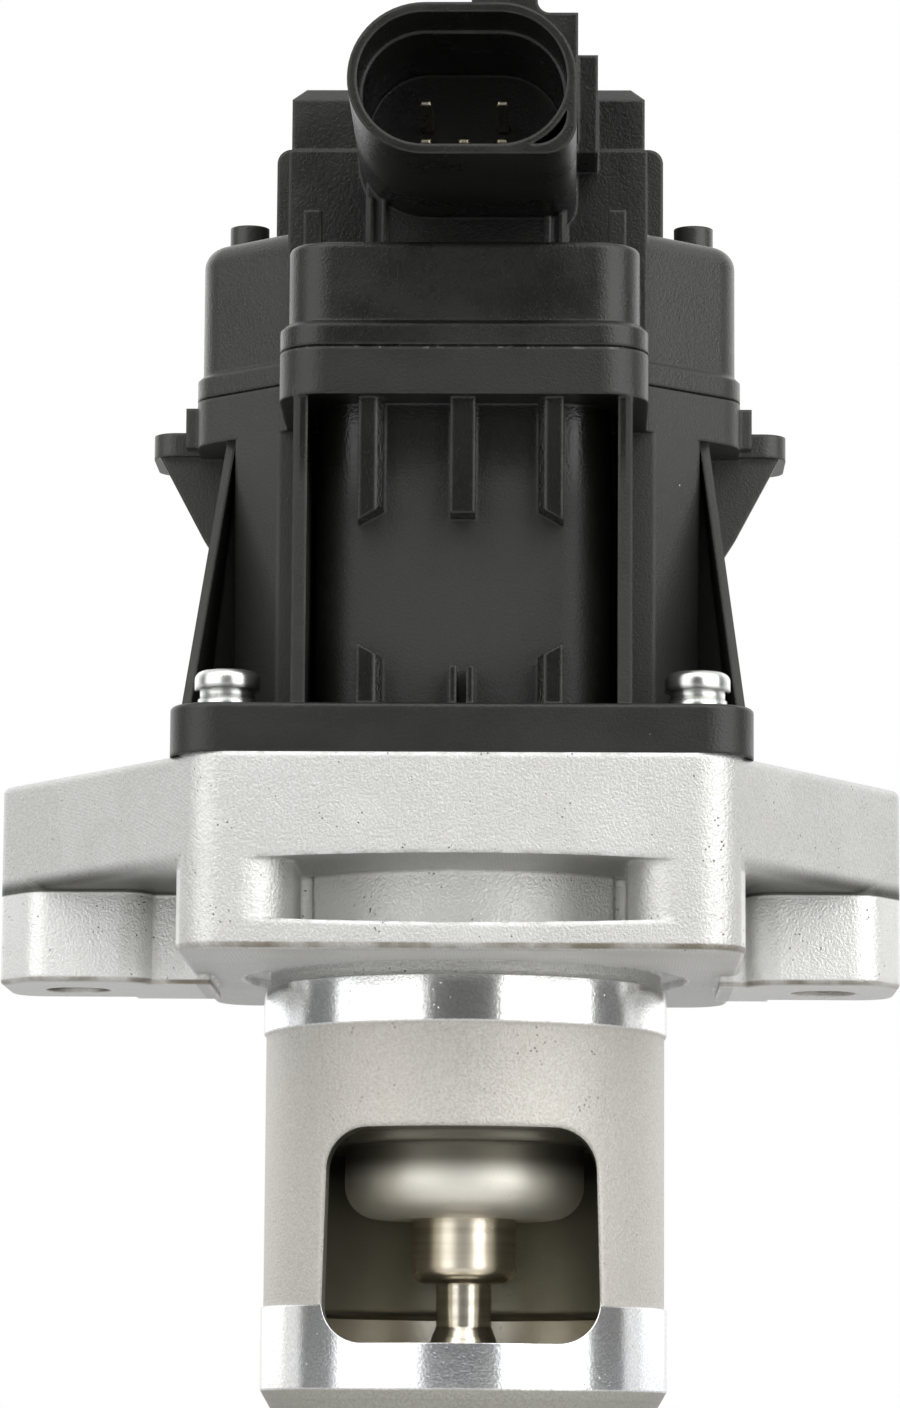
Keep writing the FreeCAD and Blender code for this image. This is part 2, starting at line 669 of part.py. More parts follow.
def poppet_valve():
    """Stem and disc. The disc closes upwards on the cone of the seat."""
    gap = SEAT_GAP * math.sqrt(2)
    cone_top_r = SEAT_R - 0.4
    cone_top = SEAT_CONE_TOP - gap + (SEAT_R - cone_top_r)
    cone_low = SEAT_CONE_TOP - gap - (DISC_R - SEAT_R)
    low = cone_low - DISC_THICK
    straight = [(0, STEM_TOP), (STEM_END_R, STEM_TOP), (STEM_END_R, STEM_SHOULDER),
                (STEM_R, STEM_SHOULDER), (STEM_R, COLLET_HIGH - 0.3),
                (GROOVE_COLLET_R, COLLET_HIGH - 0.3), (GROOVE_COLLET_R, COLLET_LOW + 0.3),
                (STEM_R, COLLET_LOW + 0.3), (STEM_R, STEM_FLARE_Z + 1.2),
                (STEM_FLARE_R, STEM_FLARE_Z)]
    points = [vec(r, 0, z) for r, z in straight]
    edges = [Part.makeLine(a, b) for a, b in zip(points, points[1:])]
    start = points[-1]
    end = vec(cone_top_r - 0.6, 0, cone_top)
    middle = vec(STEM_FLARE_R + 1.9, 0, STEM_FLARE_Z - 3.3)
    edges.append(Part.Arc(start, middle, end).toShape())
    rest = [end, vec(cone_top_r, 0, cone_top), vec(DISC_R, 0, cone_low), vec(DISC_R, 0, low),
            vec(0, 0, low), points[0]]
    edges.extend(Part.makeLine(a, b) for a, b in zip(rest, rest[1:]))
    return Part.Face(Part.Wire(edges)).revolve(vec(0, 0, 0), UP, 360)


def stem_collets():
    """Two half collets that hold the retainer in the stem's groove."""
    outer = Part.makeCone(COLLET_R_LOW, COLLET_R_HIGH, COLLET_HIGH - COLLET_LOW, vec(0, 0, COLLET_LOW))
    whole = outer.cut(rod(STEM_R, COLLET_LOW - 1, COLLET_HIGH + 1))
    tongue = ring(STEM_R, GROOVE_COLLET_R, COLLET_LOW + 0.3, COLLET_HIGH - 0.3)
    whole = whole.fuse(tongue).removeSplitter()
    slit = box(-FAR, FAR, -0.3, 0.3, COLLET_LOW - 1, COLLET_HIGH + 1)
    return whole.cut(slit)


def spring_retainer():
    dish = turned([
        (0, RETAINER_LOW), (RETAINER_R, RETAINER_LOW), (RETAINER_R, RETAINER_LOW + 1.0),
        (RETAINER_LIP, RETAINER_HIGH), (0, RETAINER_HIGH)])
    spigot_ring = rod(SPRING_R - SPRING_WIRE / 2 - 0.4, RETAINER_LOW - 0.9, RETAINER_LOW)
    dish = dish.fuse(spigot_ring).removeSplitter()
    hole = Part.makeCone(COLLET_R_LOW, COLLET_R_HIGH, COLLET_HIGH - COLLET_LOW, vec(0, 0, COLLET_LOW))
    dish = dish.cut(hole)
    return dish.cut(rod(COLLET_R_LOW - 0.2, RETAINER_LOW - 2, COLLET_LOW + 0.1))


def return_spring():
    """Compression spring with ends that lie on the cavity floor and under the retainer."""
    low = CAVITY_FLOOR + SPRING_WIRE / 2
    high = RETAINER_LOW - SPRING_WIRE / 2
    spine = Part.makeHelix((high - low) / SPRING_TURNS, high - low, SPRING_R)
    section = Part.makeCircle(SPRING_WIRE / 2, vec(SPRING_R, 0, 0), vec(0, 1, 0))
    coil = Part.Wire(spine).makePipeShell([Part.Wire(section)], True, True)
    coil.translate(vec(0, 0, low))
    return coil


def base_seal():
    top = BLOCK_TOP
    return ring(O_RING_OUT - 0.05, O_RING_IN + 0.05, top - O_RING_DEEP, top)


# Actuator housing

def rim_outline(inset=0.0):
    """Plan of the seam between housing and cover, drawn in by inset."""
    lean = math.atan2(RIM_BEVEL_END - RIM_BEVEL_Y, RIM_HALF - RIM_FRONT_HALF)
    f = RIM_FRONT_HALF - inset
    h = RIM_HALF - inset
    shift = inset / math.cos(lean)
    y0 = RIM_BEVEL_Y + shift - math.tan(lean) * inset
    y1 = RIM_BEVEL_END + shift - math.tan(lean) * inset
    front = BLOCK_FRONT + inset
    back = BLOCK_BACK - inset
    rf = max(RIM_FRONT_ROUND - inset, 0.8)
    rs = max(RIM_SIDE_ROUND - inset, 0.8)
    rb = max(RIM_BACK_ROUND - inset, 0.8)
    return [(-f, front, rf), (f, front, rf), (f, y0, 0.8), (h, y1, rs), (h, back, rb),
            (-h, back, rb), (-h, y1, rs), (-f, y0, 0.8)]


def pillar_outline(inset=0.0):
    """Plan of the housing's gear chamber below the rim."""
    lean = math.atan2(RIM_BEVEL_END - RIM_BEVEL_Y, RIM_HALF - RIM_FRONT_HALF)
    h = PILLAR_HALF - inset
    e = PILLAR_EDGE - inset
    shift = inset / math.cos(lean)
    y_edge = RIM_BEVEL_Y + (e - RIM_FRONT_HALF) * math.tan(lean) + shift
    y_side = RIM_BEVEL_Y + (h - RIM_FRONT_HALF) * math.tan(lean) + shift
    back = PILLAR_BACK - inset
    t = PILLAR_TAIL_HALF - inset
    y_end = PILLAR_SIDE_END - inset / 2
    y_tail = PILLAR_TAIL_START - inset / 2
    return [(-e, y_edge, 0.6), (e, y_edge, 0.6), (h, y_side, 1.0), (h, y_end, 1.0), (t, y_tail, 1.0),
            (t, back, 3.0), (-t, back, 3.0), (-t, y_tail, 1.0), (-h, y_end, 1.0), (-h, y_side, 1.0)]


def panel_outline(half, front, back, r):
    return [(-half, front, r), (half, front, r), (half, back, 0), (-half, back, 0)]


def screw_places():
    return [(side * SCREW_X, y) for y in (SCREW_FRONT_Y, SCREW_BACK_Y) for side in (-1, 1)]


def housing_fin():
    """Leaning fin from the flange's edge up to the rim, with a wall behind its pocket."""
    fin = plate_xz([(FIN_FOOT_X, FLANGE_TOP - 1), (FIN_TOP_X, RIM_LOW + 1),
                    (FIN_TOP_X - FIN_THICK, RIM_LOW + 1), (FIN_FOOT_X - FIN_THICK, FLANGE_TOP - 1)],
                   FIN_FOOT_Y, FIN_BACK_Y)
    ahead = plate_yz([(FIN_FOOT_Y - 1, FLANGE_TOP), (FIN_FOOT_Y, FLANGE_TOP), (FIN_TOP_Y, RIM_LOW),
                      (FIN_TOP_Y, RIM_LOW + 2), (FIN_FOOT_Y - 1, RIM_LOW + 2)], PANEL_HALF, FAR)
    fin = fin.cut(ahead)
    wall = plate_xz([(PILLAR_HALF - 1, FLANGE_TOP - 1), (FIN_FOOT_X - 0.5, FLANGE_TOP - 1),
                     (FIN_TOP_X - 0.5, RIM_LOW + 1), (PILLAR_HALF - 1, RIM_LOW + 1)],
                    POCKET_BACK_Y, POCKET_BACK_Y + 2)
    return fin.fuse(wall)


def side_tab():
    """Ear on the rim's side with a gusset below and a small post in front."""
    r = TAB_ROUND
    tab = prism([(RIM_HALF - 1, TAB_FRONT, 0), (TAB_REACH, TAB_FRONT, r), (TAB_REACH, TAB_BACK, r),
                 (RIM_HALF - 1, TAB_BACK, 0)], TAB_HIGH - TAB_THICK, TAB_HIGH)
    gusset = plate_xz([(FIN_TOP_X - 0.5, TAB_HIGH - TAB_THICK), (TAB_REACH - 0.8, TAB_HIGH - TAB_THICK),
                       (RIM_HALF - 0.4, GUSSET_FOOT_Z), (FIN_TOP_X - 0.5, GUSSET_FOOT_Z - 6)],
                      TAB_FRONT + 0.8, TAB_FRONT + 0.8 + GUSSET_THICK)
    post = box(POST_IN, POST_OUT, POST_FRONT, POST_BACK, POST_LOW, POST_HIGH)
    return fuse([tab, gusset, post])


def rib_edge(x, inward):
    """The wedge that a rib loses along its inner front edge."""
    return prism([(x, TOP_RIB_FRONT - 1, 0), (x + inward * RIB_SLANT, TOP_RIB_FRONT - 1, 0),
                  (x + inward * RIB_SLANT, TOP_RIB_FRONT, 0), (x, TOP_RIB_FRONT + RIB_SLANT, 0)],
                 FLANGE_TOP - 2, RIM_LOW + 2)


def panel_ribs():
    """Short ribs that tie the front panel to the rim above and to the flange below."""
    ribs = []
    for x in TOP_RIB_XS:
        a = x - TOP_RIB_HALF
        b = x + TOP_RIB_HALF
        lean = TOP_RIB_SLANT if x < -1 else (-TOP_RIB_SLANT if x > 1 else 0.0)
        top = plate_xz([(a, TOP_RIB_LOW - lean / 2), (b, TOP_RIB_LOW + lean / 2),
                        (b, RIM_LOW + 1), (a, RIM_LOW + 1)], TOP_RIB_FRONT, PANEL_FRONT + 1)
        if x:
            foot = plate_xz([(a, FLANGE_TOP - 1), (b, FLANGE_TOP - 1),
                             (b, FOOT_RIB_HIGH - lean / 2), (a, FOOT_RIB_HIGH + lean / 2)],
                            TOP_RIB_FRONT, PANEL_FRONT + 1)
            slant = rib_edge(b if x < 0 else a, -1 if x < 0 else 1)
            ribs.extend([top.cut(slant), foot.cut(slant)])
        else:
            ribs.append(top)
            for edge in (a, b - 0.8):
                ribs.append(box(edge, edge + 0.8, TOP_RIB_FRONT, PANEL_FRONT + 1,
                                FLANGE_TOP - 1, FOOT_RIB_HIGH - 1.6))
    return ribs


def housing_outside():
    r = BLOCK_CORNER
    h = FLANGE_HALF
    flange = prism([(-h, BLOCK_FRONT, r), (h, BLOCK_FRONT, r), (h, BLOCK_BACK, r), (-h, BLOCK_BACK, r)],
                   BLOCK_TOP, FLANGE_TOP)
    flange = rounded_at(flange, MOULD_EDGE, level_edge(FLANGE_TOP))
    rim = prism(rim_outline(), RIM_LOW, SEAM)
    pillar = prism(pillar_outline(), FLANGE_TOP - 1, RIM_LOW + 1)
    panel = prism(panel_outline(PANEL_HALF, PANEL_FRONT, 0, PANEL_ROUND), FLANGE_TOP - 1, RIM_LOW + 1)
    parts = [flange, rim, pillar, panel]
    parts.extend(both(box(RIB_IN, RIB_OUT, RIB_FRONT, RIM_BEVEL_Y + 2, FLANGE_TOP - 1, RIM_LOW + 1)))
    parts.extend(panel_ribs())
    for x in BACK_RIB_XS:
        parts.append(box(x - BACK_RIB_HALF, x + BACK_RIB_HALF, PILLAR_BACK - 1, BLOCK_BACK - 0.4,
                         FLANGE_TOP - 1, RIM_LOW + 1))
    parts.extend(both(housing_fin()))
    parts.extend(both(side_tab()))
    return fuse(parts)


def fork_guides():
    """Two slotted posts that stop the follower fork from turning."""
    guides = []
    for side in (-1, 1):
        a = min(side * (FORK_HALF_X + 0.8), side * GUIDE_OUT_X)
        b = max(side * (FORK_HALF_X + 0.8), side * GUIDE_OUT_X)
        post = box(a, b, -GUIDE_HALF_Y, GUIDE_HALF_Y, HOUSING_FLOOR - 1, GUIDE_TOP)
        reach = FORK_WING_X + FREE
        slot = box(-reach, reach, -GUIDE_SLOT / 2, GUIDE_SLOT / 2,
                   FORK_BASE - LIFT - 1, GUIDE_TOP + 1)
        guides.append(post.cut(slot))
    return guides


def actuator_housing():
    body = housing_outside()
    inner_panel = panel_outline(MOTOR_HALF, MOTOR_Y - CAN_FLAT - 0.9, 2, PANEL_ROUND - 1.6)
    hollows = [prism(pillar_outline(WALL), HOUSING_FLOOR, SEAM + 1),
               prism(inner_panel, HOUSING_FLOOR, SEAM + 1),
               prism(rim_outline(RIM_WALL), RIM_LOW + 1.8, SEAM + 1)]
    body = body.cut(hollows)
    extra = fork_guides()
    extra.append(rod(BOSS_R, HOUSING_FLOOR - 1, BOSS_TOP, 0, OUT_Y))
    extra.append(box(-1.2, 1.2, OUT_Y, WELL_BACK + 0.5, HOUSING_FLOOR - 1, GUIDE_TOP))
    for side in (-1, 1):
        extra.append(rod(3.1, HOUSING_FLOOR - 1, PLATE_LOW, side * PLATE_SCREW_X, PLATE_SCREW_Y))
        a = min(side * PLATE_SCREW_X, side * (PILLAR_HALF - 1))
        extra.append(box(a, a + PILLAR_HALF - 1 - PLATE_SCREW_X, PLATE_SCREW_Y - 0.8,
                         PLATE_SCREW_Y + 0.8, HOUSING_FLOOR - 1, PLATE_LOW))
    body = fuse([body] + extra)
    cuts = [rod(STEM_R + FREE, BLOCK_TOP - 1, HOUSING_FLOOR + 1),
            rod(OUT_SHAFT_R, BOSS_TOP - SHAFT_DEEP, BOSS_TOP + 1, 0, OUT_Y)]
    for side in (-1, 1):
        cuts.append(rod(SMALL_SCREW_R, PLATE_LOW - SMALL_DEEP - 0.5, PLATE_LOW + 1,
                        side * PLATE_SCREW_X, PLATE_SCREW_Y))
    for x, y in screw_places():
        cuts.append(rod(SLEEVE_R, BLOCK_TOP - 1, FLANGE_TOP + 1, x, y))
        cuts.append(rod(HEAD_R + 0.8, FLANGE_TOP, RIM_LOW - 1, x, y))
    return body.cut(cuts)


def screw_sleeves():
    """Compression sleeves that carry the screws' load past the plastic."""
    return [ring(SLEEVE_R, SLEEVE_BORE_R, BLOCK_TOP, FLANGE_TOP + SLEEVE_RISE, x, y)
            for x, y in screw_places()]


def housing_screws():
    """Dome-head screws with a waist under the head."""
    screws = []
    seat = FLANGE_TOP + SLEEVE_RISE
    for x, y in screw_places():
        shank = rod(SCREW_R, BLOCK_TOP - SCREW_DEEP, seat, x, y)
        neck = rod(SCREW_NECK_R, seat, seat + HEAD_LOW, x, y)
        dome = rod(HEAD_R, seat + HEAD_LOW, seat + HEAD_HIGH, x, y)
        dome = rounded_at(dome, 0.9, level_edge(seat + HEAD_HIGH))
        screw = fuse([shank, neck, dome])
        screws.append(screw.cut(drive_socket(x, y, seat + HEAD_HIGH)))
    return screws


def drive_socket(x, y, top):
    """Six-lobe socket drawn as a circle with six round lobes."""
    core = rod(SOCKET_R * 0.82, top - SOCKET_DEEP, top + 1, x, y)
    lobes = []
    for k in range(6):
        a = math.radians(60 * k)
        lobes.append(rod(SOCKET_R * 0.27, top - SOCKET_DEEP, top + 1,
                         x + SOCKET_R * 0.80 * math.cos(a), y + SOCKET_R * 0.80 * math.sin(a)))
    return fuse([core] + lobes)


# Motor

def flat_can(r, flat, z0, z1):
    """A round body with flats to the front and the back."""
    body = rod(r, z0, z1, 0, MOTOR_Y)
    return body.common(box(-r - 1, r + 1, MOTOR_Y - flat, MOTOR_Y + flat, z0, z1))


def motor_can():
    outer = flat_can(CAN_R, CAN_FLAT, CAN_LOW, CAN_HIGH)
    inner = flat_can(CAN_R - CAN_WALL, CAN_FLAT - CAN_WALL, CAN_LOW - 1, CAN_HIGH - CAN_WALL)
    can = outer.cut(inner)
    nose = rod(BEARING_R + 0.9, CAN_HIGH - CAN_WALL, BEARING_HIGH + 0.4, 0, MOTOR_Y)
    can = fuse([can, nose])
    cuts = [rod(BEARING_R, CAN_HIGH - 4, BEARING_HIGH, 0, MOTOR_Y),
            rod(MOTOR_SHAFT_R + 0.4, CAN_HIGH - 4, BEARING_HIGH + 1, 0, MOTOR_Y)]
    for side in (-1, 1):
        cuts.append(rod(SMALL_SCREW_R, CAN_HIGH - 3, CAN_HIGH + 1, side * CAN_SCREW_X, MOTOR_Y))
    return can.cut(cuts)


def motor_end_cap():
    """Brush card that closes the foot of the can and holds the lower bearing."""
    plate = flat_can(CAN_R, CAN_FLAT, CAP_LOW, CAN_LOW)
    lip_out = flat_can(CAN_R - CAN_WALL, CAN_FLAT - CAN_WALL, CAN_LOW, CAP_LIP)
    lip_in = flat_can(CAN_R - CAN_WALL - 1.2, CAN_FLAT - CAN_WALL - 1.2, CAN_LOW, CAP_LIP)
    cap = fuse([plate, lip_out.cut(lip_in)])
    holder = ring(BEARING_R + 1.0, BEARING_R, CAN_LOW - 0.5, CAN_LOW + 1.4, 0, MOTOR_Y)
    cap = fuse([cap, holder])
    cap = cap.cut(rod(BEARING_R, CAP_LOW + 0.6, CAN_LOW + 3, 0, MOTOR_Y))
    for k in (0, 1):
        cap = cap.cut(terminal_path(k))
    return cap


def motor_bearings():
    """Sintered bearings at both ends of the motor shaft."""
    out = []
    bore = MOTOR_SHAFT_R + RUN
    out.append(ring(BEARING_R, bore, BEARING_HIGH - BEARING_LONG, BEARING_HIGH, 0, MOTOR_Y))
    out.append(ring(BEARING_R, bore, CAP_LOW + 0.6, CAN_LOW + 1.4, 0, MOTOR_Y))
    return out


def motor_magnets():
    """Two curved magnets on the round sides of the can."""
    ring_body = ring(CAN_R - CAN_WALL, MAGNET_IN_R, MAGNET_LOW, MAGNET_HIGH, 0, MOTOR_Y)
    limit = CAN_FLAT - CAN_WALL - 2.4
    out = []
    for side in (-1, 1):
        a = 0.5 if side > 0 else -CAN_R - 1
        b = CAN_R + 1 if side > 0 else -0.5
        out.append(ring_body.common(box(a, b, MOTOR_Y - limit, MOTOR_Y + limit,
                                        MAGNET_LOW, MAGNET_HIGH)))
    return out


def motor_brushes():
    """Two carbon brushes on either side of the commutator."""
    out = []
    z0 = COMMUTATOR_LOW + 0.3
    z1 = COMMUTATOR_LOW + COMMUTATOR_LONG - 0.3
    for side in (-1, 1):
        a = min(side * (COMMUTATOR_R - 0.5), side * 8.0)
        b = max(side * (COMMUTATOR_R - 0.5), side * 8.0)
        block = box(a, b, MOTOR_Y - BRUSH_WIDE / 2, MOTOR_Y + BRUSH_WIDE / 2, z0, z1)
        out.append(block.cut(rod(COMMUTATOR_R + RUN, z0 - 1, z1 + 1, 0, MOTOR_Y)))
    return out


def brush_arms():
    """Spring arms of the brushes, from the end cap's lip to the carbon."""
    out = []
    for side in (-1, 1):
        a = min(side * 8.0, side * 11.0)
        b = max(side * 8.0, side * 11.0)
        out.append(box(a, b, MOTOR_Y - 0.8, MOTOR_Y + 0.8, CAN_LOW + 1.0, COMMUTATOR_LOW + 1.5))
    return out


def motor_shaft():
    return rod(MOTOR_SHAFT_R, MOTOR_SHAFT_LOW, MOTOR_SHAFT_TOP, 0, MOTOR_Y)


def armature_core():
    """Laminated core with five poles."""
    hub = rod(3.4, CORE_LOW, CORE_HIGH, 0, MOTOR_Y)
    caps = ring(CORE_R, CORE_R - POLE_CAP, CORE_LOW, CORE_HIGH, 0, MOTOR_Y)
    parts = [hub, caps]
    slits = []
    for k in range(CORE_POLES):
        a = 360.0 / CORE_POLES * k
        neck = box(2.4, CORE_R - 0.8, -POLE_NECK / 2, POLE_NECK / 2, CORE_LOW, CORE_HIGH)
        slit = box(CORE_R - POLE_CAP - 1, CORE_R + 1, -0.7, 0.7, CORE_LOW - 1, CORE_HIGH + 1)
        neck.rotate(vec(0, 0, 0), UP, a)
        slit.rotate(vec(0, 0, 0), UP, a + 180.0 / CORE_POLES)
        neck.translate(vec(0, MOTOR_Y, 0))
        slit.translate(vec(0, MOTOR_Y, 0))
        parts.append(neck)
        slits.append(slit)
    core = fuse(parts).cut(slits)
    return core.cut(rod(MOTOR_SHAFT_R, CORE_LOW - 1, CORE_HIGH + 1, 0, MOTOR_Y))


def armature_windings():
    """Copper coils round the five pole necks, joined by the turns at both ends of the core."""
    coils = ring(WINDING_OUT_R, 3.4, CORE_LOW - WINDING_END, CORE_HIGH + WINDING_END, 0, MOTOR_Y)
    coils = coils.cut(rod(3.4 + 0.6, CORE_LOW - WINDING_END - 1, CORE_LOW - 0.01, 0, MOTOR_Y))
    for k in range(CORE_POLES):
        a = 360.0 / CORE_POLES * k
        neck = box(0, CORE_R, -POLE_NECK / 2, POLE_NECK / 2, CORE_LOW, CORE_HIGH)
        gap = box(3.0, CORE_R, -0.5, 0.5, CORE_LOW - 5, CORE_HIGH + 5)
        neck.rotate(vec(0, 0, 0), UP, a)
        gap.rotate(vec(0, 0, 0), UP, a + 180.0 / CORE_POLES)
        neck.translate(vec(0, MOTOR_Y, 0))
        gap.translate(vec(0, MOTOR_Y, 0))
        coils = coils.cut(neck).cut(gap)
    return coils


def commutator():
    """Copper segments on the shaft, split by narrow slots."""
    top = COMMUTATOR_LOW + COMMUTATOR_LONG
    body = ring(COMMUTATOR_R, MOTOR_SHAFT_R, COMMUTATOR_LOW, top, 0, MOTOR_Y)
    for k in range(CORE_POLES):
        slit = box(COMMUTATOR_R - 0.7, COMMUTATOR_R + 1, -0.25, 0.25, COMMUTATOR_LOW - 1, top + 1)
        slit.rotate(vec(0, 0, 0), UP, 360.0 / CORE_POLES * k)
        slit.translate(vec(0, MOTOR_Y, 0))
        body = body.cut(slit)
    return body


# Gear train

def involute(angle):
    return math.tan(angle) - angle


def gear_wire(module, teeth, shift, phase):
    """Outline of a spur gear: each flank is an arc through three points of the involute."""
    pitch = module * teeth / 2
    base = pitch * math.cos(math.radians(PRESSURE))
    tip = pitch + module * (1 + shift)
    root = pitch - module * (1.25 - shift)
    thick = module * (math.pi / 2 + 2 * shift * math.tan(math.radians(PRESSURE))) - THINNING
    half = thick / (2 * pitch) + involute(math.radians(PRESSURE))
    start = max(base, root)

    def spread(r):
        return half - involute(math.acos(min(1.0, base / r)))

    def at(r, a):
        return vec(r * math.cos(a), r * math.sin(a), 0)

    edges = []
    step = 2 * math.pi / teeth
    for k in range(teeth):
        c = phase + k * step
        low = c - spread(start)
        high = c + spread(start)
        middle = (start + tip) / 2
        rise = [at(start, low), at(middle, c - spread(middle)), at(tip, c - spread(tip))]
        fall = [at(tip, c + spread(tip)), at(middle, c + spread(middle)), at(start, high)]
        next_low = c + step - spread(start)
        if root < start - 1e-6:
            edges.append(Part.makeLine(at(root, low), rise[0]))
        edges.append(Part.Arc(rise[0], rise[1], rise[2]).toShape())
        edges.append(Part.Arc(rise[2], at(tip, c), fall[0]).toShape())
        edges.append(Part.Arc(fall[0], fall[1], fall[2]).toShape())
        if root < start - 1e-6:
            edges.append(Part.makeLine(fall[2], at(root, high)))
        edges.append(Part.Arc(at(root, high), at(root, (high + next_low) / 2),
                              at(root, next_low)).toShape())
    return Part.Wire(edges)


def gear(module, teeth, shift, phase, z0, z1, x, y):
    face = Part.Face(gear_wire(module, teeth, shift, phase))
    face.translate(vec(x, y, z0))
    return face.extrude(vec(0, 0, z1 - z0))


def idler_place():
    """The idler's axis stands at both centre distances from the motor and the output."""
    a = MODULE_1 * (PINION_1_TEETH + WHEEL_1_TEETH) / 2 + CENTRE_PLAY
    b = MODULE_2 * (PINION_2_TEETH + WHEEL_2_TEETH) / 2 + CENTRE_PLAY
    c = OUT_Y - MOTOR_Y
    along = (a * a + c * c - b * b) / (2 * c)
    return math.sqrt(a * a - along * along), MOTOR_Y + along


def direction(from_xy, to_xy):
    return math.atan2(to_xy[1] - from_xy[1], to_xy[0] - from_xy[0])


MOTOR_XY = (0.0, MOTOR_Y)
OUT_XY = (0.0, OUT_Y)
IDLER_XY = idler_place()


def drive_pinion():
    toward = direction(MOTOR_XY, IDLER_XY)
    teeth = gear(MODULE_1, PINION_1_TEETH, SHIFT, toward, LEVEL_A - 0.3, LEVEL_A + FACE_A + 0.2, *MOTOR_XY)
    collar = rod(2.2, LEVEL_A - 1.3, LEVEL_A - 0.3, *MOTOR_XY)
    bore = rod(MOTOR_SHAFT_R, LEVEL_A - 3, LEVEL_A + FACE_A + 3, *MOTOR_XY)
    return fuse([teeth, collar]).cut(bore)


def idler_gear():
    """Compound gear: wheel above, pinion below, on one plastic hub."""
    x, y = IDLER_XY
    back = direction(IDLER_XY, MOTOR_XY)
    toward = direction(IDLER_XY, OUT_XY)
    wheel = gear(MODULE_1, WHEEL_1_TEETH, -SHIFT, back + math.pi / WHEEL_1_TEETH, LEVEL_A, LEVEL_A + FACE_A, x, y)
    pinion = gear(MODULE_2, PINION_2_TEETH, SHIFT, toward, LEVEL_B - 0.3, LEVEL_A, x, y)
    hub = rod(IDLER_HUB_R, LEVEL_B - 1.3, LEVEL_A + FACE_A + 0.6, x, y)
    body = fuse([wheel, pinion, hub])
    dish = ring(7.2, IDLER_HUB_R + 0.9, LEVEL_A + FACE_A - 1.0, LEVEL_A + FACE_A + 1, x, y)
    body = body.cut(dish)
    return body.cut(rod(IDLER_AXLE_R + RUN, LEVEL_B - 3, LEVEL_A + FACE_A + 3, x, y))


def idler_axle():
    x, y = IDLER_XY
    pin = rod(IDLER_AXLE_R, PLATE_LOW + 0.2, AXLE_TOP, x, y)
    foot = rod(IDLER_SPACER_R, PLATE_LOW + PLATE_THICK, LEVEL_B - 1.5, x, y)
    return fuse([pin, foot])


def ramp_cam():
    """Ramp under the output gear: its lower face is a helicoid swept along a helix, so the roller
    under it goes down evenly as the gear turns."""
    pitch = LIFT * 360.0 / SWING
    sweep = SWING + 2 * CAM_LEAD
    rise = pitch * sweep / 360.0
    mean = (CAM_IN + CAM_OUT) / 2
    low = ROLLER_Z + TRACK_UP - pitch * (SWING + CAM_LEAD) / 360.0
    tall = LEVEL_B - low + 2
    helix = Part.Wire(Part.makeHelix(pitch, rise, mean))
    section = Part.makePolygon([vec(CAM_IN, 0, 0), vec(CAM_OUT, 0, 0), vec(CAM_OUT, 0, tall),
                                vec(CAM_IN, 0, tall), vec(CAM_IN, 0, 0)])
    ramp = helix.makePipeShell([section], True, True)
    ramp.rotate(vec(0, 0, 0), UP, -90.0 - SWING - CAM_LEAD)
    ramp.translate(vec(0, OUT_Y, low))
    return ramp.common(rod(CAM_OUT + 1, low - 1, LEVEL_B + 0.4, 0, OUT_Y))


def output_gear():
    """Output wheel with its hub and the ramp cam moulded below."""
    x, y = OUT_XY
    back = direction(OUT_XY, IDLER_XY)
    teeth = gear(MODULE_2, WHEEL_2_TEETH, -SHIFT, back + math.pi / WHEEL_2_TEETH, LEVEL_B, LEVEL_B + FACE_B, x, y)
    groove = ring(12.2, 7.6, LEVEL_B + FACE_B - 1.4, LEVEL_B + FACE_B + 1, x, y)
    hub = rod(HUB_R, HUB_LOW, LEVEL_B + FACE_B + 0.6, x, y)
    body = fuse([teeth.cut(groove), hub])
    body = body.fuse(ramp_cam()).removeSplitter()
    ribs = []
    for k in range(6):
        rib = box(6.4, 12.6, -0.5, 0.5, LEVEL_B + FACE_B - 1.6, LEVEL_B + FACE_B)
        rib.rotate(vec(0, 0, 0), UP, 60.0 * k + 30)
        rib.translate(vec(x, y, 0))
        ribs.append(rib)
    body = body.fuse(ribs).removeSplitter()
    return body.cut(rod(BUSH_OUT_R, HUB_LOW - 1, LEVEL_B + FACE_B + 2, x, y))


def output_bush():
    x, y = OUT_XY
    return ring(BUSH_OUT_R, OUT_SHAFT_R + RUN, HUB_LOW, LEVEL_B + FACE_B + 0.6, x, y)


def output_shaft():
    return rod(OUT_SHAFT_R, BOSS_TOP - SHAFT_DEEP, OUT_SHAFT_TOP, *OUT_XY)


def thrust_washer():
    return ring(WASHER_R, OUT_SHAFT_R, BOSS_TOP, HUB_LOW - 0.1, *OUT_XY)


def magnet_carrier():
    """Cap over the hub that carries the sensor magnet above the shaft's end."""
    x, y = OUT_XY
    low = LEVEL_B + FACE_B + 0.6
    cap = rod(CARRIER_R, low, CARRIER_TOP, x, y)
    cap = rounded_at(cap, 0.6, level_edge(CARRIER_TOP))
    cap = cap.cut(rod(OUT_SHAFT_R + 0.5, low - 1, OUT_SHAFT_TOP + 0.6, x, y))
    return cap.cut(rod(MAGNET_R, CARRIER_TOP - MAGNET_THICK, CARRIER_TOP + 1, x, y))


def sensor_magnet():
    return rod(MAGNET_R, CARRIER_TOP - MAGNET_THICK, CARRIER_TOP, *OUT_XY)


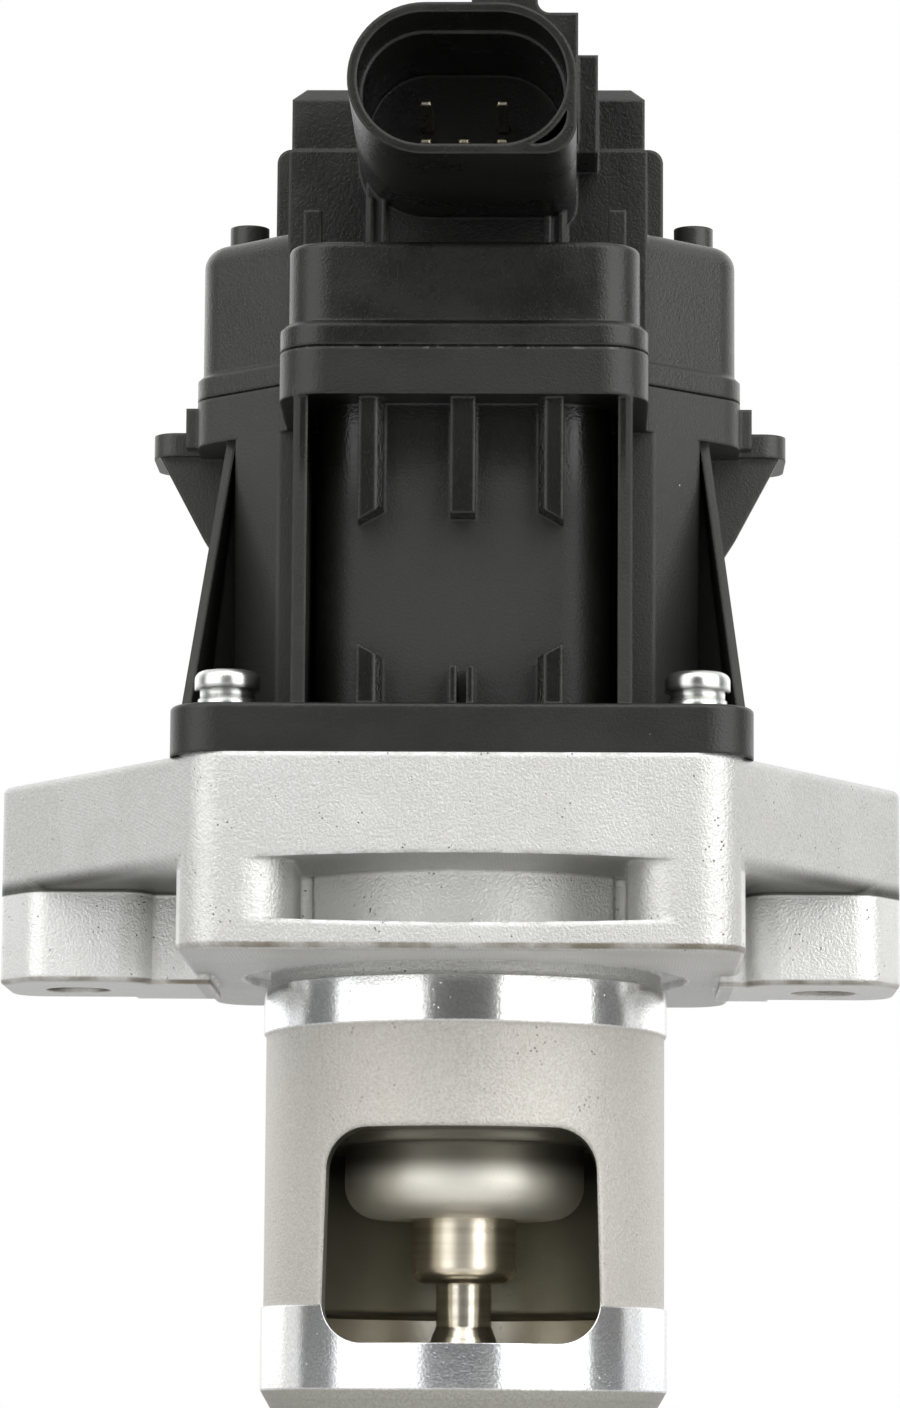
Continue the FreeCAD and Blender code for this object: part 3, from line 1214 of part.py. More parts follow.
def roller_fork():
    """Fork on top of the stem: two cheeks round the roller and two wings in the guide slots."""
    side = ROLLER_HALF + FORK_SIDE_GAP
    out = side + FORK_CHEEK
    hub = box(-FORK_HALF_X, FORK_HALF_X, -out, out, FORK_BASE, FORK_BRIDGE)
    wings = box(-FORK_WING_X, FORK_WING_X, -GUIDE_SLOT / 2 + 0.15, GUIDE_SLOT / 2 - 0.15,
                FORK_BASE, FORK_BRIDGE - 1.2)
    cheeks = []
    for s in (-1, 1):
        a = min(s * side, s * out)
        b = max(s * side, s * out)
        plate = box(-3.2, 3.2, a, b, FORK_BRIDGE, ROLLER_Z)
        cap = Part.makeCylinder(FORK_TOP - ROLLER_Z, b - a, vec(0, a, ROLLER_Z), vec(0, 1, 0))
        cheeks.append(plate)
        cheeks.append(cap)
        cheeks.append(box(-3.2, 3.2, a, b, FORK_BRIDGE, ROLLER_Z - 1.0))
    body = fuse([hub, wings] + cheeks)
    pin = Part.makeCylinder(ROLLER_PIN_R, 2 * FAR, vec(0, -FAR, ROLLER_Z), vec(0, 1, 0))
    return body.cut([pin, rod(STEM_END_R, FORK_BASE - 1, STEM_TOP)])


def roller_pin():
    out = ROLLER_HALF + FORK_SIDE_GAP + FORK_CHEEK
    return Part.makeCylinder(ROLLER_PIN_R, 2 * out, vec(0, -out, ROLLER_Z), vec(0, 1, 0))


def cam_roller():
    body = Part.makeCylinder(ROLLER_R, 2 * ROLLER_HALF, vec(0, -ROLLER_HALF, ROLLER_Z), vec(0, 1, 0))
    bore = Part.makeCylinder(ROLLER_PIN_R + RUN, 2 * FAR, vec(0, -FAR, ROLLER_Z), vec(0, 1, 0))
    return body.cut(bore)


def motor_plate():
    """Steel plate that clamps the motor and carries the idler's axle."""
    top = PLATE_LOW + PLATE_THICK
    n = PLATE_NECK
    h = PLATE_HALF
    y = RIM_BEVEL_Y + 4.6
    plate = prism([(-n, PLATE_FRONT, 3.6), (n, PLATE_FRONT, 3.6), (n, y, 0), (h - 2.4, y, 2.0),
                   (h, PLATE_BACK, 2.0), (-h, PLATE_BACK, 2.0), (-h + 2.4, y, 2.0), (-n, y, 0)],
                  PLATE_LOW, top)
    cuts = [rod(BEARING_R + 1.0, PLATE_LOW - 1, top + 1, *MOTOR_XY),
            rod(IDLER_AXLE_R, PLATE_LOW - 1, top + 1, *IDLER_XY)]
    for x, y in plate_screw_places():
        cuts.append(rod(SMALL_SCREW_R, PLATE_LOW - 1, top + 1, x, y))
    return plate.cut(cuts)


def plate_screw_places():
    places = [(side * PLATE_SCREW_X, PLATE_SCREW_Y) for side in (-1, 1)]
    places.extend((side * CAN_SCREW_X, MOTOR_Y) for side in (-1, 1))
    return places


def plate_screws():
    """Two screws into the housing posts and two short ones into the can."""
    out = []
    top = PLATE_LOW + PLATE_THICK
    for x, y in plate_screw_places():
        deep = SMALL_DEEP if abs(x) > CAN_SCREW_X + 1 else CAN_WALL + 0.6
        shank = rod(SMALL_SCREW_R, PLATE_LOW - deep, top, x, y)
        head = rod(SMALL_HEAD_R, top, top + SMALL_HEAD, x, y)
        head = rounded_at(head, 0.5, level_edge(top + SMALL_HEAD))
        slot = box(x - 1.5, x + 1.5, y - 0.3, y + 0.3, top + SMALL_HEAD - 0.8, top + SMALL_HEAD + 1)
        cross = box(x - 0.3, x + 0.3, y - 1.5, y + 1.5, top + SMALL_HEAD - 0.8, top + SMALL_HEAD + 1)
        out.append(fuse([shank, head]).cut([slot, cross]))
    return out


# Cover and connector

def shroud_outline(inset):
    """Oval of the connector in XZ, with one squarer corner on the outside."""
    h = SHROUD_HALF - inset
    low = SHROUD_LOW + inset
    high = SHROUD_HIGH - inset
    r = (SHROUD_HIGH - SHROUD_LOW) / 2 - inset - 0.02
    return h, low, high, r


def shroud_solid(inset, y0, y1, square):
    h, low, high, r = shroud_outline(inset)
    corner = SQUARE_ROUND if square else r
    wire = wire_of([(-h, low, r), (h, low, corner), (h, high, r), (-h, high, r)])
    face = Part.Face(wire)
    face.rotate(vec(0, 0, 0), vec(1, 0, 0), 90)
    face.translate(vec(0, y0, 0))
    return face.extrude(vec(0, y1 - y0, 0))


def latch_lug():
    """Locking lug on top of the shroud, with its step and the keeper rib beside it."""
    lug = box(0.6, LATCH_X, LATCH_FRONT, LATCH_BACK, SHROUD_HIGH - 2.0, LATCH_TOP)
    step = box(LATCH_X - 1, LATCH_STEP_X, LATCH_FRONT, LATCH_BACK, SHROUD_HIGH - 8.0, LATCH_STEP_TOP)
    r = LATCH_COVE
    cove = box(LATCH_X - 0.5, LATCH_X + r, LATCH_FRONT, LATCH_BACK, LATCH_STEP_TOP - 0.5, LATCH_STEP_TOP + r)
    hollow = Part.makeCylinder(r, LATCH_BACK - LATCH_FRONT + 2,
                               vec(LATCH_X + r, LATCH_FRONT - 1, LATCH_STEP_TOP + r), vec(0, 1, 0))
    keeper = box(LATCH_STEP_X - 2.2, KEEPER_X, SHROUD_BACK - 1, BOX_FRONT + 1, KEEPER_LOW, KEEPER_TOP)
    return [lug, step, cove.cut(hollow), keeper]


def shoulder_outline():
    """Plan of the cover behind its low front block, a little inside the seam's outline."""
    front, _, corner, side, back = [rim_outline(SHOULDER_IN)[i] for i in (0, 1, 2, 3, 4)]
    f = corner[0]
    y = corner[1]
    h = side[0]
    return [(-f, y, 0), (f, y, 0), (h, side[1], side[2]), (h, back[1], back[2]),
            (-h, back[1], back[2]), (-h, side[1], side[2])]


def cover_outside():
    band = prism(rim_outline(), SEAM, BAND_TOP)
    band = band.makeChamfer(MOULD_EDGE, [e for e in band.Edges if level_edge(BAND_TOP)(e)])
    front = prism([(-FRONT_HALF, FRONT_FACE, FRONT_ROUND), (FRONT_HALF, FRONT_FACE, FRONT_ROUND),
                   (FRONT_HALF, BOX_FRONT + 3, 0), (-FRONT_HALF, BOX_FRONT + 3, 0)],
                  BAND_TOP - 1, FRONT_TOP)
    front = rounded_at(front, 0.7, level_edge(FRONT_TOP))
    shoulders = prism(shoulder_outline(), BAND_TOP - 1, SHOULDER_TOP)
    start = shoulder_outline()[0][1] + 0.1
    shoulders = rounded_at(shoulders, SHOULDER_ROUND,
                           lambda e: level_edge(SHOULDER_TOP)(e) and e.BoundBox.YMax > start)
    low_box = box(-BOX_HALF, BOX_HALF, BOX_FRONT, BOX_BACK, BAND_TOP, BOX_STEP_Z)
    b = BOX_HALF - BOX_STEP
    high_box = box(-b, b, BOX_FRONT + BOX_STEP, BOX_BACK - BOX_STEP, BOX_STEP_Z - 1, BOX_TOP)
    high_box = high_box.makeChamfer(BOX_CHAMFER, [e for e in high_box.Edges if level_edge(BOX_TOP)(e)])
    wings = box(-WING_HALF, WING_HALF, WING_FRONT, BOX_BACK - 2, SHOULDER_TOP - 4, WING_TOP)
    wings = rounded_at(wings, 1.6, lambda e: level_edge(WING_TOP)(e) and e.BoundBox.YLength > 5)
    pedestal = box(-PEDESTAL_HALF, PEDESTAL_HALF, PEDESTAL_FRONT, BOX_FRONT + 1, FRONT_TOP - 1,
                   (SHROUD_LOW + SHROUD_HIGH) / 2)
    parts = [band, front, shoulders, low_box, high_box, wings, pedestal]
    for side in (-1, 1):
        parts.append(box(side * PEG_X - PEG_HALF, side * PEG_X + PEG_HALF, PEG_Y, PEG_Y + PEG_DEEP,
                         FRONT_TOP - 1, PEG_TOP))
        parts.append(rod(LUMP_HALF, SHOULDER_TOP - 3, LUMP_TOP, side * LUMP_X, LUMP_Y))
        for x in (PEDESTAL_HALF - 2.0, PEDESTAL_HALF - 0.6):
            a = side * x - 0.3
            parts.append(box(a, a + 0.6, PEDESTAL_FRONT - 0.7, PEDESTAL_FRONT + 1, FRONT_TOP - 1,
                             SHROUD_LOW + 2))
    parts.extend(both(plate_xz([(WING_HALF - 1, SHOULDER_TOP - 1), (WING_HALF + 2.6, SHOULDER_TOP - 1),
                                (WING_HALF - 1, SHOULDER_TOP + 2.6)], WING_FRONT + 3, WING_FRONT + 4.4)))
    parts.append(shroud_solid(0.0, MOUTH_Y, BOX_FRONT + 1, True))
    parts.extend(latch_lug())
    return fuse(parts)


def pin_path(x, level, drop_y, grow):
    """One blade: straight through the connector's floor, then down to the board."""
    w = PIN_WIDE / 2 + grow
    t = PIN_THICK / 2 + grow
    flat = box(x - w, x + w, PIN_TIP_Y, drop_y + t, level - t, level + t)
    drop = box(x - w, x + w, drop_y - t, drop_y + t, BOARD_LOW - 0.6, level + t)
    return fuse([flat, drop])


def pin_paths(grow):
    paths = []
    for x in (-PIN_PITCH, 0.0, PIN_PITCH):
        paths.append(pin_path(x, PIN_LOW_Z, PIN_LOW_DROP_Y, grow))
    for x in (-PIN_PITCH, PIN_PITCH):
        paths.append(pin_path(x, PIN_HIGH_Z, PIN_HIGH_DROP_Y, grow))
    return paths


def terminal_pins():
    """Five blades with chamfered tips."""
    out = []
    for path in pin_paths(0.0):
        edges = [e for e in path.Edges
                 if abs(e.BoundBox.YMin - PIN_TIP_Y) < 0.01 and abs(e.BoundBox.YMax - PIN_TIP_Y) < 0.01]
        out.append(path.makeChamfer(0.18, edges))
    return out


def gear_cover():
    w = COVER_WALL
    body = cover_outside()
    hollows = [prism(rim_outline(RIM_WALL + 0.4), SEAM - 1, BAND_TOP + 1)]
    hollows.append(box(-FRONT_HALF + w, FRONT_HALF - w, FRONT_FACE + w, BOX_FRONT + 4, SEAM - 1,
                       FRONT_TOP - w))
    inside = prism(rim_outline(RIM_WALL + 0.4), SEAM - 1, SHOULDER_TOP - w)
    hollows.append(inside.common(box(-FAR, FAR, BOX_FRONT + w, FAR, SEAM - 2, SHOULDER_TOP)))
    hollows.append(box(-BOX_HALF + w, BOX_HALF - w, BOX_FRONT + w, BOX_BACK - w, SEAM - 1, BOX_TOP - w))
    body = body.cut(hollows)
    bracket = box(BOARD_NOTCH_X + 0.4, BOX_HALF - w + 0.5, BOX_FRONT + w - 0.5, BOARD_STEP - 0.6,
                  BRACKET_LOW, BRACKET_HIGH)
    posts = [rod(2.4, BOARD_LOW + BOARD_THICK, BOX_TOP - w + 0.5, x, y) for x, y in board_screw_places()]
    body = fuse([body, bracket] + posts)
    cuts = [shroud_solid(SHROUD_WALL, MOUTH_Y - 1, MOUTH_Y + SOCKET_STEP_DEEP, False),
            shroud_solid(SHROUD_WALL + SOCKET_STEP, MOUTH_Y, SHROUD_FLOOR, False),
            rod(IDLER_AXLE_R, BRACKET_LOW - 1, AXLE_TOP, *IDLER_XY)]
    cuts.append(corner_pocket())
    cuts.append(seam_groove())
    cuts.extend(pin_paths(0.0))
    for x, y in board_screw_places():
        cuts.append(rod(0.9, BOARD_LOW, BOARD_LOW + BOARD_THICK + 5.4, x, y))
    return body.cut(cuts)


def seam_groove():
    """The shallow groove that shows as a dark line where cover and housing meet."""
    around = prism(rim_outline(-SEAM_DEEP), SEAM, SEAM + SEAM_WIDE)
    return around.cut(prism(rim_outline(SEAM_DEEP), SEAM - 1, SEAM + 1))


def corner_pocket():
    """The dark pocket left between the oval socket and the squarer outer corner."""
    outer = shroud_solid(SHROUD_WALL, MOUTH_Y - 1, MOUTH_Y + 9, True)
    inner = shroud_solid(SHROUD_WALL - 0.75, MOUTH_Y - 2, MOUTH_Y + 10, False)
    pocket = outer.cut(inner)
    return pocket.common(box(4, 12, MOUTH_Y - 1, MOUTH_Y + 9, SHROUD_LOW, SHROUD_LOW + 8))


def cover_seal():
    """Gasket cord in the seam, just inside the walls."""
    outer = prism(rim_outline(RIM_WALL), SEAM - SEAL_HIGH_Z, SEAM)
    inner = prism(rim_outline(RIM_WALL + SEAL_WIDE - 0.8), SEAM - SEAL_HIGH_Z - 1, SEAM + 1)
    return outer.cut(inner)


def board_screw_places():
    return [(-12.6, 22.0), (12.6, 22.0), (-12.6, 2.0), (12.6, 2.0)]


def sensor_board():
    z0 = BOARD_LOW
    z1 = BOARD_LOW + BOARD_THICK
    h = BOARD_HALF
    board = prism([(-h, BOARD_FRONT, 1.0), (BOARD_NOTCH_X, BOARD_FRONT, 1.0),
                   (BOARD_NOTCH_X, BOARD_STEP, 0), (h, BOARD_STEP, 1.0), (h, BOARD_BACK, 1.0),
                   (-h, BOARD_BACK, 1.0)], z0, z1)
    cuts = list(pin_paths(0.0))
    cuts.extend(motor_terminals())
    cuts.extend(rod(0.9, z0 - 1, z1 + 1, x, y) for x, y in board_screw_places())
    return board.cut(cuts)


def board_screws():
    out = []
    for x, y in board_screw_places():
        shank = rod(0.9, BOARD_LOW, BOARD_LOW + BOARD_THICK + 5.0, x, y)
        head = rod(1.9, BOARD_LOW - 1.3, BOARD_LOW, x, y)
        out.append(fuse([shank, head]))
    return out


def position_sensor():
    """Flat chip under the board, over the magnet."""
    x, y = OUT_XY
    z1 = BOARD_LOW
    chip = box(x - CHIP_HALF_X, x + CHIP_HALF_X, y - CHIP_HALF_Y, y + CHIP_HALF_Y,
               z1 - CHIP_THICK, z1)
    legs = []
    for k in range(4):
        lx = x - 1.95 + 1.3 * k
        for s in (-1, 1):
            y0 = min(y + s * CHIP_HALF_Y, y + s * (CHIP_HALF_Y + 0.9))
            legs.append(box(lx - 0.2, lx + 0.2, y0, y0 + 0.9, z1 - 0.4, z1))
    return fuse([chip] + legs)


def terminal_path(k):
    """One motor terminal: out of the end cap, along the floor and up to the board."""
    x = TERMINAL_X + k * TERMINAL_PITCH
    root = TERMINAL_ROOT_Y + k * TERMINAL_ROOT_STEP
    w = TERMINAL_WIDE / 2
    t = TERMINAL_THICK / 2
    z = TERMINAL_LOW
    foot = box(x - w, TERMINAL_ROOT_X - k * TERMINAL_ROOT_BACK, root - t, root + t, z - t, z + t)
    run = box(x - w, x + w, root - t, TERMINAL_BACK_Y + t, z - t, z + t)
    rise = box(x - w, x + w, TERMINAL_BACK_Y - t, TERMINAL_BACK_Y + t, z - t,
               BOARD_LOW + BOARD_THICK + 0.5)
    return fuse([foot, run, rise])


def motor_terminals():
    return [terminal_path(k) for k in (0, 1)]


PARTS = {
    "valve_body": valve_body,
    "seat_ring": seat_ring,
    "guide_bush": guide_bush,
    "stem_seal": stem_seal,
    "poppet_valve": poppet_valve,
    "stem_collets": stem_collets,
    "spring_retainer": spring_retainer,
    "return_spring": return_spring,
    "base_seal": base_seal,
    "actuator_housing": actuator_housing,
    "screw_sleeves": screw_sleeves,
    "housing_screws": housing_screws,
    "motor_can": motor_can,
    "motor_end_cap": motor_end_cap,
    "motor_bearings": motor_bearings,
    "motor_magnets": motor_magnets,
    "motor_brushes": motor_brushes,
    "brush_arms": brush_arms,
    "motor_shaft": motor_shaft,
    "armature_core": armature_core,
    "armature_windings": armature_windings,
    "commutator": commutator,
    "drive_pinion": drive_pinion,
    "idler_gear": idler_gear,
    "idler_axle": idler_axle,
    "output_gear": output_gear,
    "output_bush": output_bush,
    "output_shaft": output_shaft,
    "thrust_washer": thrust_washer,
    "magnet_carrier": magnet_carrier,
    "sensor_magnet": sensor_magnet,
    "roller_fork": roller_fork,
    "roller_pin": roller_pin,
    "cam_roller": cam_roller,
    "motor_plate": motor_plate,
    "plate_screws": plate_screws,
    "gear_cover": gear_cover,
    "cover_seal": cover_seal,
    "terminal_pins": terminal_pins,
    "sensor_board": sensor_board,
    "board_screws": board_screws,
    "position_sensor": position_sensor,
    "motor_terminals": motor_terminals,
}

os.makedirs("parts", exist_ok=True)
for name, make in PARTS.items():
    made = make()
    if isinstance(made, list):
        made = Part.makeCompound(made)
    made.exportStep("parts/" + name + ".step")
    box_of = made.BoundBox
    print(name, len(made.Solids), made.isValid(), round(made.Volume, 1),
          [round(v, 1) for v in (box_of.XMin, box_of.XMax, box_of.YMin, box_of.YMax,
                                 box_of.ZMin, box_of.ZMax)])
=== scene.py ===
# %% [markdown]
# ## The valve and its frame
# This is an electric exhaust gas recirculation valve: a cast aluminium body with two ears and a
# windowed spigot, under a black plastic actuator with an oval plug socket.
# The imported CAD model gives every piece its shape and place. We load it as a fixed frame and only
# add finishes, light and small surface details, so the sizes stay those of the CAD model.

# %% Load the frame
import math

import bpy
from mathutils import Matrix, Vector


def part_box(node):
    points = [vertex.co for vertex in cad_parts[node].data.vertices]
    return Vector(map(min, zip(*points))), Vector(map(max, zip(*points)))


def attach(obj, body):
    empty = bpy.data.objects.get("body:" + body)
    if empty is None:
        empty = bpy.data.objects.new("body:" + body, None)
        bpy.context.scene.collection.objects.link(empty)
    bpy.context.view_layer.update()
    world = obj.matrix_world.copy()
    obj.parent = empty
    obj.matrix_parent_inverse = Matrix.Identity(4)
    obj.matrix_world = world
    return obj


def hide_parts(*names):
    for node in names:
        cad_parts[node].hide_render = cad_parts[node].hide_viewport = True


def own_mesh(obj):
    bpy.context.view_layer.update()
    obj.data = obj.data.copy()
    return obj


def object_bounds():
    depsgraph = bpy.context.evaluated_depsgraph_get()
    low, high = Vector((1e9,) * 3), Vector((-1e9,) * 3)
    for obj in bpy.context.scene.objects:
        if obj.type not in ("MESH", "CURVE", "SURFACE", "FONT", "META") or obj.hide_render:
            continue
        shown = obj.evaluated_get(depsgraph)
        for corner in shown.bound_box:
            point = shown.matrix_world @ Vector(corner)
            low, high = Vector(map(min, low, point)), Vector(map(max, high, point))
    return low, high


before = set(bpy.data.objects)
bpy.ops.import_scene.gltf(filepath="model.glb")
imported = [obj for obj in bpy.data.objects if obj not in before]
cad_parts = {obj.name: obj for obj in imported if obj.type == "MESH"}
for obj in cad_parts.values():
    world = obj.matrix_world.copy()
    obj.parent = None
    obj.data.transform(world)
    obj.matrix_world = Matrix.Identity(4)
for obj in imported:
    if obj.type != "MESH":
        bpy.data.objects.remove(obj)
cad_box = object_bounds()
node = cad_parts

# %% [markdown]
# ## The camera
# The photograph was taken from far away and slightly below the flange, looking up by about eight
# degrees: the underside of the ears shows, and the far edges of the block rise towards the middle.
# We could place a camera by eye, but a long lens hides errors, so its direction is written as two
# unit vectors that were worked out from the connector, the screws and the spigot's ellipses.

# %% Place the camera
look = Vector((-0.02334, 0.98910, 0.14539))
side = Vector((0.99972, 0.02258, 0.00691))


def camera_axes(forward, right):
    """Right, up and backward axes at right angles to each other."""
    forward = forward.normalized()
    right = (right - forward * right.dot(forward)).normalized()
    return right, right.cross(forward), -forward


right, up, back = camera_axes(look, side)
camera_data = bpy.data.cameras.new("studio_camera")
camera_data.lens = 128.914
camera_data.sensor_width = 36.0
camera_data.clip_start = 0.05
camera = bpy.data.objects.new("studio_camera", camera_data)
camera.matrix_world = Matrix((right, up, back)).transposed().to_4x4()
camera.location = (0.01104, -0.54989, -0.049)
bpy.context.scene.collection.objects.link(camera)
bpy.context.scene.camera = camera
print("camera looks along", [round(v, 4) for v in -back])

# %% [markdown]
# ## A pale floor and a white background
# Product photographs stand on white paper. The paper is a plain plane a little below the spigot, so
# the open valve clears it. Two things keep it out of the way: Backfacing makes it clear from below,
# and away from the valve it fades into the background, as a curved paper sweep does. The world is
# white only for camera, glossy and transmission rays, and gives a weaker, even light to everything
# else, so white never comes from more light on the valve.

# %% Build the floor
def new_material(name):
    """A material without nodes, for the code to fill."""
    made = bpy.data.materials.new(name)
    made.use_nodes = True
    made.node_tree.nodes.clear()
    return made


FLOOR_HALF = 0.9
FLOOR_GAP = 0.009
FLOOR_FADE = (0.18, 0.75)


def build_floor():
    mesh = bpy.data.meshes.new("paper_floor")
    s = FLOOR_HALF
    z = cad_box[0][2] - FLOOR_GAP
    mesh.from_pydata([(-s, -s, z), (s, -s, z), (s, s, z), (-s, s, z)], [], [(0, 1, 2, 3)])
    floor = bpy.data.objects.new("paper_floor", mesh)
    bpy.context.scene.collection.objects.link(floor)
    paper = new_material("white_paper")
    nodes, links = paper.node_tree.nodes, paper.node_tree.links
    shader = nodes.new("ShaderNodeBsdfPrincipled")
    shader.inputs["Base Color"].default_value = (0.83, 0.83, 0.83, 1)
    shader.inputs["Roughness"].default_value = 0.8
    clear = nodes.new("ShaderNodeBsdfTransparent")
    geometry = nodes.new("ShaderNodeNewGeometry")
    distance = nodes.new("ShaderNodeVectorMath")
    distance.operation = "LENGTH"
    fade = nodes.new("ShaderNodeMapRange")
    fade.interpolation_type = "SMOOTHSTEP"
    fade.inputs["From Min"].default_value, fade.inputs["From Max"].default_value = FLOOR_FADE
    either = nodes.new("ShaderNodeMath")
    either.operation = "MAXIMUM"
    mix = nodes.new("ShaderNodeMixShader")
    out = nodes.new("ShaderNodeOutputMaterial")
    links.new(geometry.outputs["Position"], distance.inputs[0])
    links.new(distance.outputs["Value"], fade.inputs["Value"])
    links.new(fade.outputs[0], either.inputs[0])
    links.new(geometry.outputs["Backfacing"], either.inputs[1])
    links.new(either.outputs[0], mix.inputs[0])
    links.new(shader.outputs[0], mix.inputs[1])
    links.new(clear.outputs[0], mix.inputs[2])
    links.new(mix.outputs[0], out.inputs["Surface"])
    mesh.materials.append(paper)
    return floor


floor = build_floor()
print("floor at z =", round(floor.data.vertices[0].co.z, 4))

# %% Build the world
def build_world(diffuse_strength):
    world = bpy.data.worlds.new("studio_world")
    world.use_nodes = True
    bpy.context.scene.world = world
    nodes, links = world.node_tree.nodes, world.node_tree.links
    nodes.clear()
    path = nodes.new("ShaderNodeLightPath")
    either = nodes.new("ShaderNodeMath")
    either.operation = "MAXIMUM"
    any_of = nodes.new("ShaderNodeMath")
    any_of.operation = "MAXIMUM"
    soft = nodes.new("ShaderNodeBackground")
    soft.inputs["Color"].default_value = (1, 1, 1, 1)
    soft.inputs["Strength"].default_value = diffuse_strength
    white = nodes.new("ShaderNodeBackground")
    white.inputs["Color"].default_value = (1, 1, 1, 1)
    white.inputs["Strength"].default_value = 1.0
    mix = nodes.new("ShaderNodeMixShader")
    out = nodes.new("ShaderNodeOutputWorld")
    links.new(path.outputs["Is Camera Ray"], either.inputs[0])
    links.new(path.outputs["Is Glossy Ray"], either.inputs[1])
    links.new(either.outputs[0], any_of.inputs[0])
    links.new(path.outputs["Is Transmission Ray"], any_of.inputs[1])
    links.new(any_of.outputs[0], mix.inputs[0])
    links.new(soft.outputs[0], mix.inputs[1])
    links.new(white.outputs[0], mix.inputs[2])
    links.new(mix.outputs[0], out.inputs["Surface"])


DIFFUSE_STRENGTH = 0.20
build_world(DIFFUSE_STRENGTH)
bpy.context.scene.view_settings.view_transform = "Standard"
print("world is white for the camera and lights the valve by", DIFFUSE_STRENGTH)

# %% [markdown]
# ## Soft boxes and a grey card
# The turned bands of the spigot show the studio: a bright stripe from a soft box on each side and
# a dark stripe in the middle, where the camera stands. Area lamps make the soft boxes. One more
# stands high over the valve, a weak one above the camera fills the shadows without a reflection
# of its own, and two small ones behind keep the back readable. A bent grey card on the camera's
# side is seen by reflections only. Without it the metal would mirror a white room and lose its
# shape, so a photographer hangs card beside bright metal too.

# %% Lamps
LIT_POINT = (0.0, 0.0, 0.03)


def soft_box(name, place, wide, tall, watts):
    """A rectangular lamp that points at the valve and that the camera doesn't see."""
    lamp = bpy.data.lights.new(name, "AREA")
    lamp.shape = "RECTANGLE"
    lamp.size = wide
    lamp.size_y = tall
    lamp.energy = watts
    thing = bpy.data.objects.new(name, lamp)
    thing.location = place
    thing.visible_camera = False
    direction = Vector(LIT_POINT) - thing.location
    thing.rotation_euler = direction.to_track_quat("-Z", "Y").to_euler()
    bpy.context.scene.collection.objects.link(thing)
    return thing


# name, place, width, height, watts
LAMPS = [
    ("left_soft_box", (-0.52, -0.46, 0.26), 0.78, 0.80, 3.3),
    ("right_soft_box", (0.52, -0.46, 0.26), 0.78, 0.80, 4.9),
    ("top_soft_box", (0.0, -0.50, 0.66), 0.90, 0.42, 2.0),
    ("back_left_box", (-0.55, 0.62, 0.30), 0.60, 0.70, 0.9),
    ("back_right_box", (0.55, 0.62, 0.30), 0.60, 0.70, 0.7),
    ("front_fill", (0.0, -0.82, 0.20), 0.55, 0.35, 0.7),
]
lamps = {lamp[0]: soft_box(*lamp) for lamp in LAMPS}
lamps["front_fill"].visible_glossy = False
print("lamps:", sorted(lamps))

# %% Grey card
def grey_card(name, azimuth, span, low, high, distance, steps=8):
    """An upright grey card, bent round the valve, that only reflections see."""
    points, faces = [], []
    for k in range(steps + 1):
        a = math.radians(azimuth - span / 2 + span * k / steps)
        for z in (low, high):
            points.append((distance * math.sin(a), -distance * math.cos(a), z))
    for k in range(steps):
        faces.append((2 * k, 2 * k + 2, 2 * k + 3, 2 * k + 1))
    mesh = bpy.data.meshes.new(name)
    mesh.from_pydata(points, [], faces)
    card = bpy.data.objects.new(name, mesh)
    bpy.context.scene.collection.objects.link(card)
    card.visible_camera = False
    card.visible_diffuse = False
    card.visible_shadow = False
    grey = new_material(name + "_card")
    shader = grey.node_tree.nodes.new("ShaderNodeBsdfPrincipled")
    shader.inputs["Base Color"].default_value = (0.55, 0.55, 0.55, 1)
    shader.inputs["Roughness"].default_value = 0.9
    out = grey.node_tree.nodes.new("ShaderNodeOutputMaterial")
    grey.node_tree.links.new(shader.outputs[0], out.inputs["Surface"])
    mesh.materials.append(grey)


grey_card("camera_side_room", azimuth=0, span=206, low=-0.6, high=0.9, distance=1.3)
print("grey card hangs on the camera's side")

# %% [markdown]
# ## Small helpers for shader nodes
# Every finish below is built from nodes in code. Short helpers keep that readable: calc adds a
# math node, spread maps a value between two limits, blend mixes two colours or values, and noise
# adds a noise texture. A helper takes a plain number as well as another node's output.

# %% Node helpers
def plug(tree, value, socket):
    """Links a socket or writes a plain number or colour; None leaves the socket as it is."""
    if hasattr(value, "is_output"):
        tree.links.new(value, socket)
    elif value is not None:
        socket.default_value = value


def calc(tree, operation, a, b=None, clamp=False):
    made = tree.nodes.new("ShaderNodeMath")
    made.operation = operation
    made.use_clamp = clamp
    plug(tree, a, made.inputs[0])
    plug(tree, b, made.inputs[1])
    return made.outputs[0]


def spread(tree, value, low, high, to_low=0.0, to_high=1.0, smooth=True):
    """to_low at the low limit, to_high at the high one, and a soft or straight way between."""
    made = tree.nodes.new("ShaderNodeMapRange")
    made.interpolation_type = "SMOOTHSTEP" if smooth else "LINEAR"
    plug(tree, value, made.inputs["Value"])
    plug(tree, low, made.inputs["From Min"])
    plug(tree, high, made.inputs["From Max"])
    plug(tree, to_low, made.inputs["To Min"])
    plug(tree, to_high, made.inputs["To Max"])
    return made.outputs[0]


def blend(tree, amount, a, b, kind="RGBA"):
    """a where the amount is 0, b where it is 1; kind is RGBA or FLOAT."""
    made = tree.nodes.new("ShaderNodeMix")
    made.data_type = kind
    first = {"FLOAT": 2, "RGBA": 6}[kind]
    plug(tree, amount, made.inputs[0])
    plug(tree, a, made.inputs[first])
    plug(tree, b, made.inputs[first + 1])
    return made.outputs[{"FLOAT": 0, "RGBA": 2}[kind]]


def noise(tree, vector, scale, detail=4.0, rough=0.55):
    made = tree.nodes.new("ShaderNodeTexNoise")
    plug(tree, vector, made.inputs["Vector"])
    plug(tree, scale, made.inputs["Scale"])
    plug(tree, detail, made.inputs["Detail"])
    plug(tree, rough, made.inputs["Roughness"])
    return made.outputs[0]


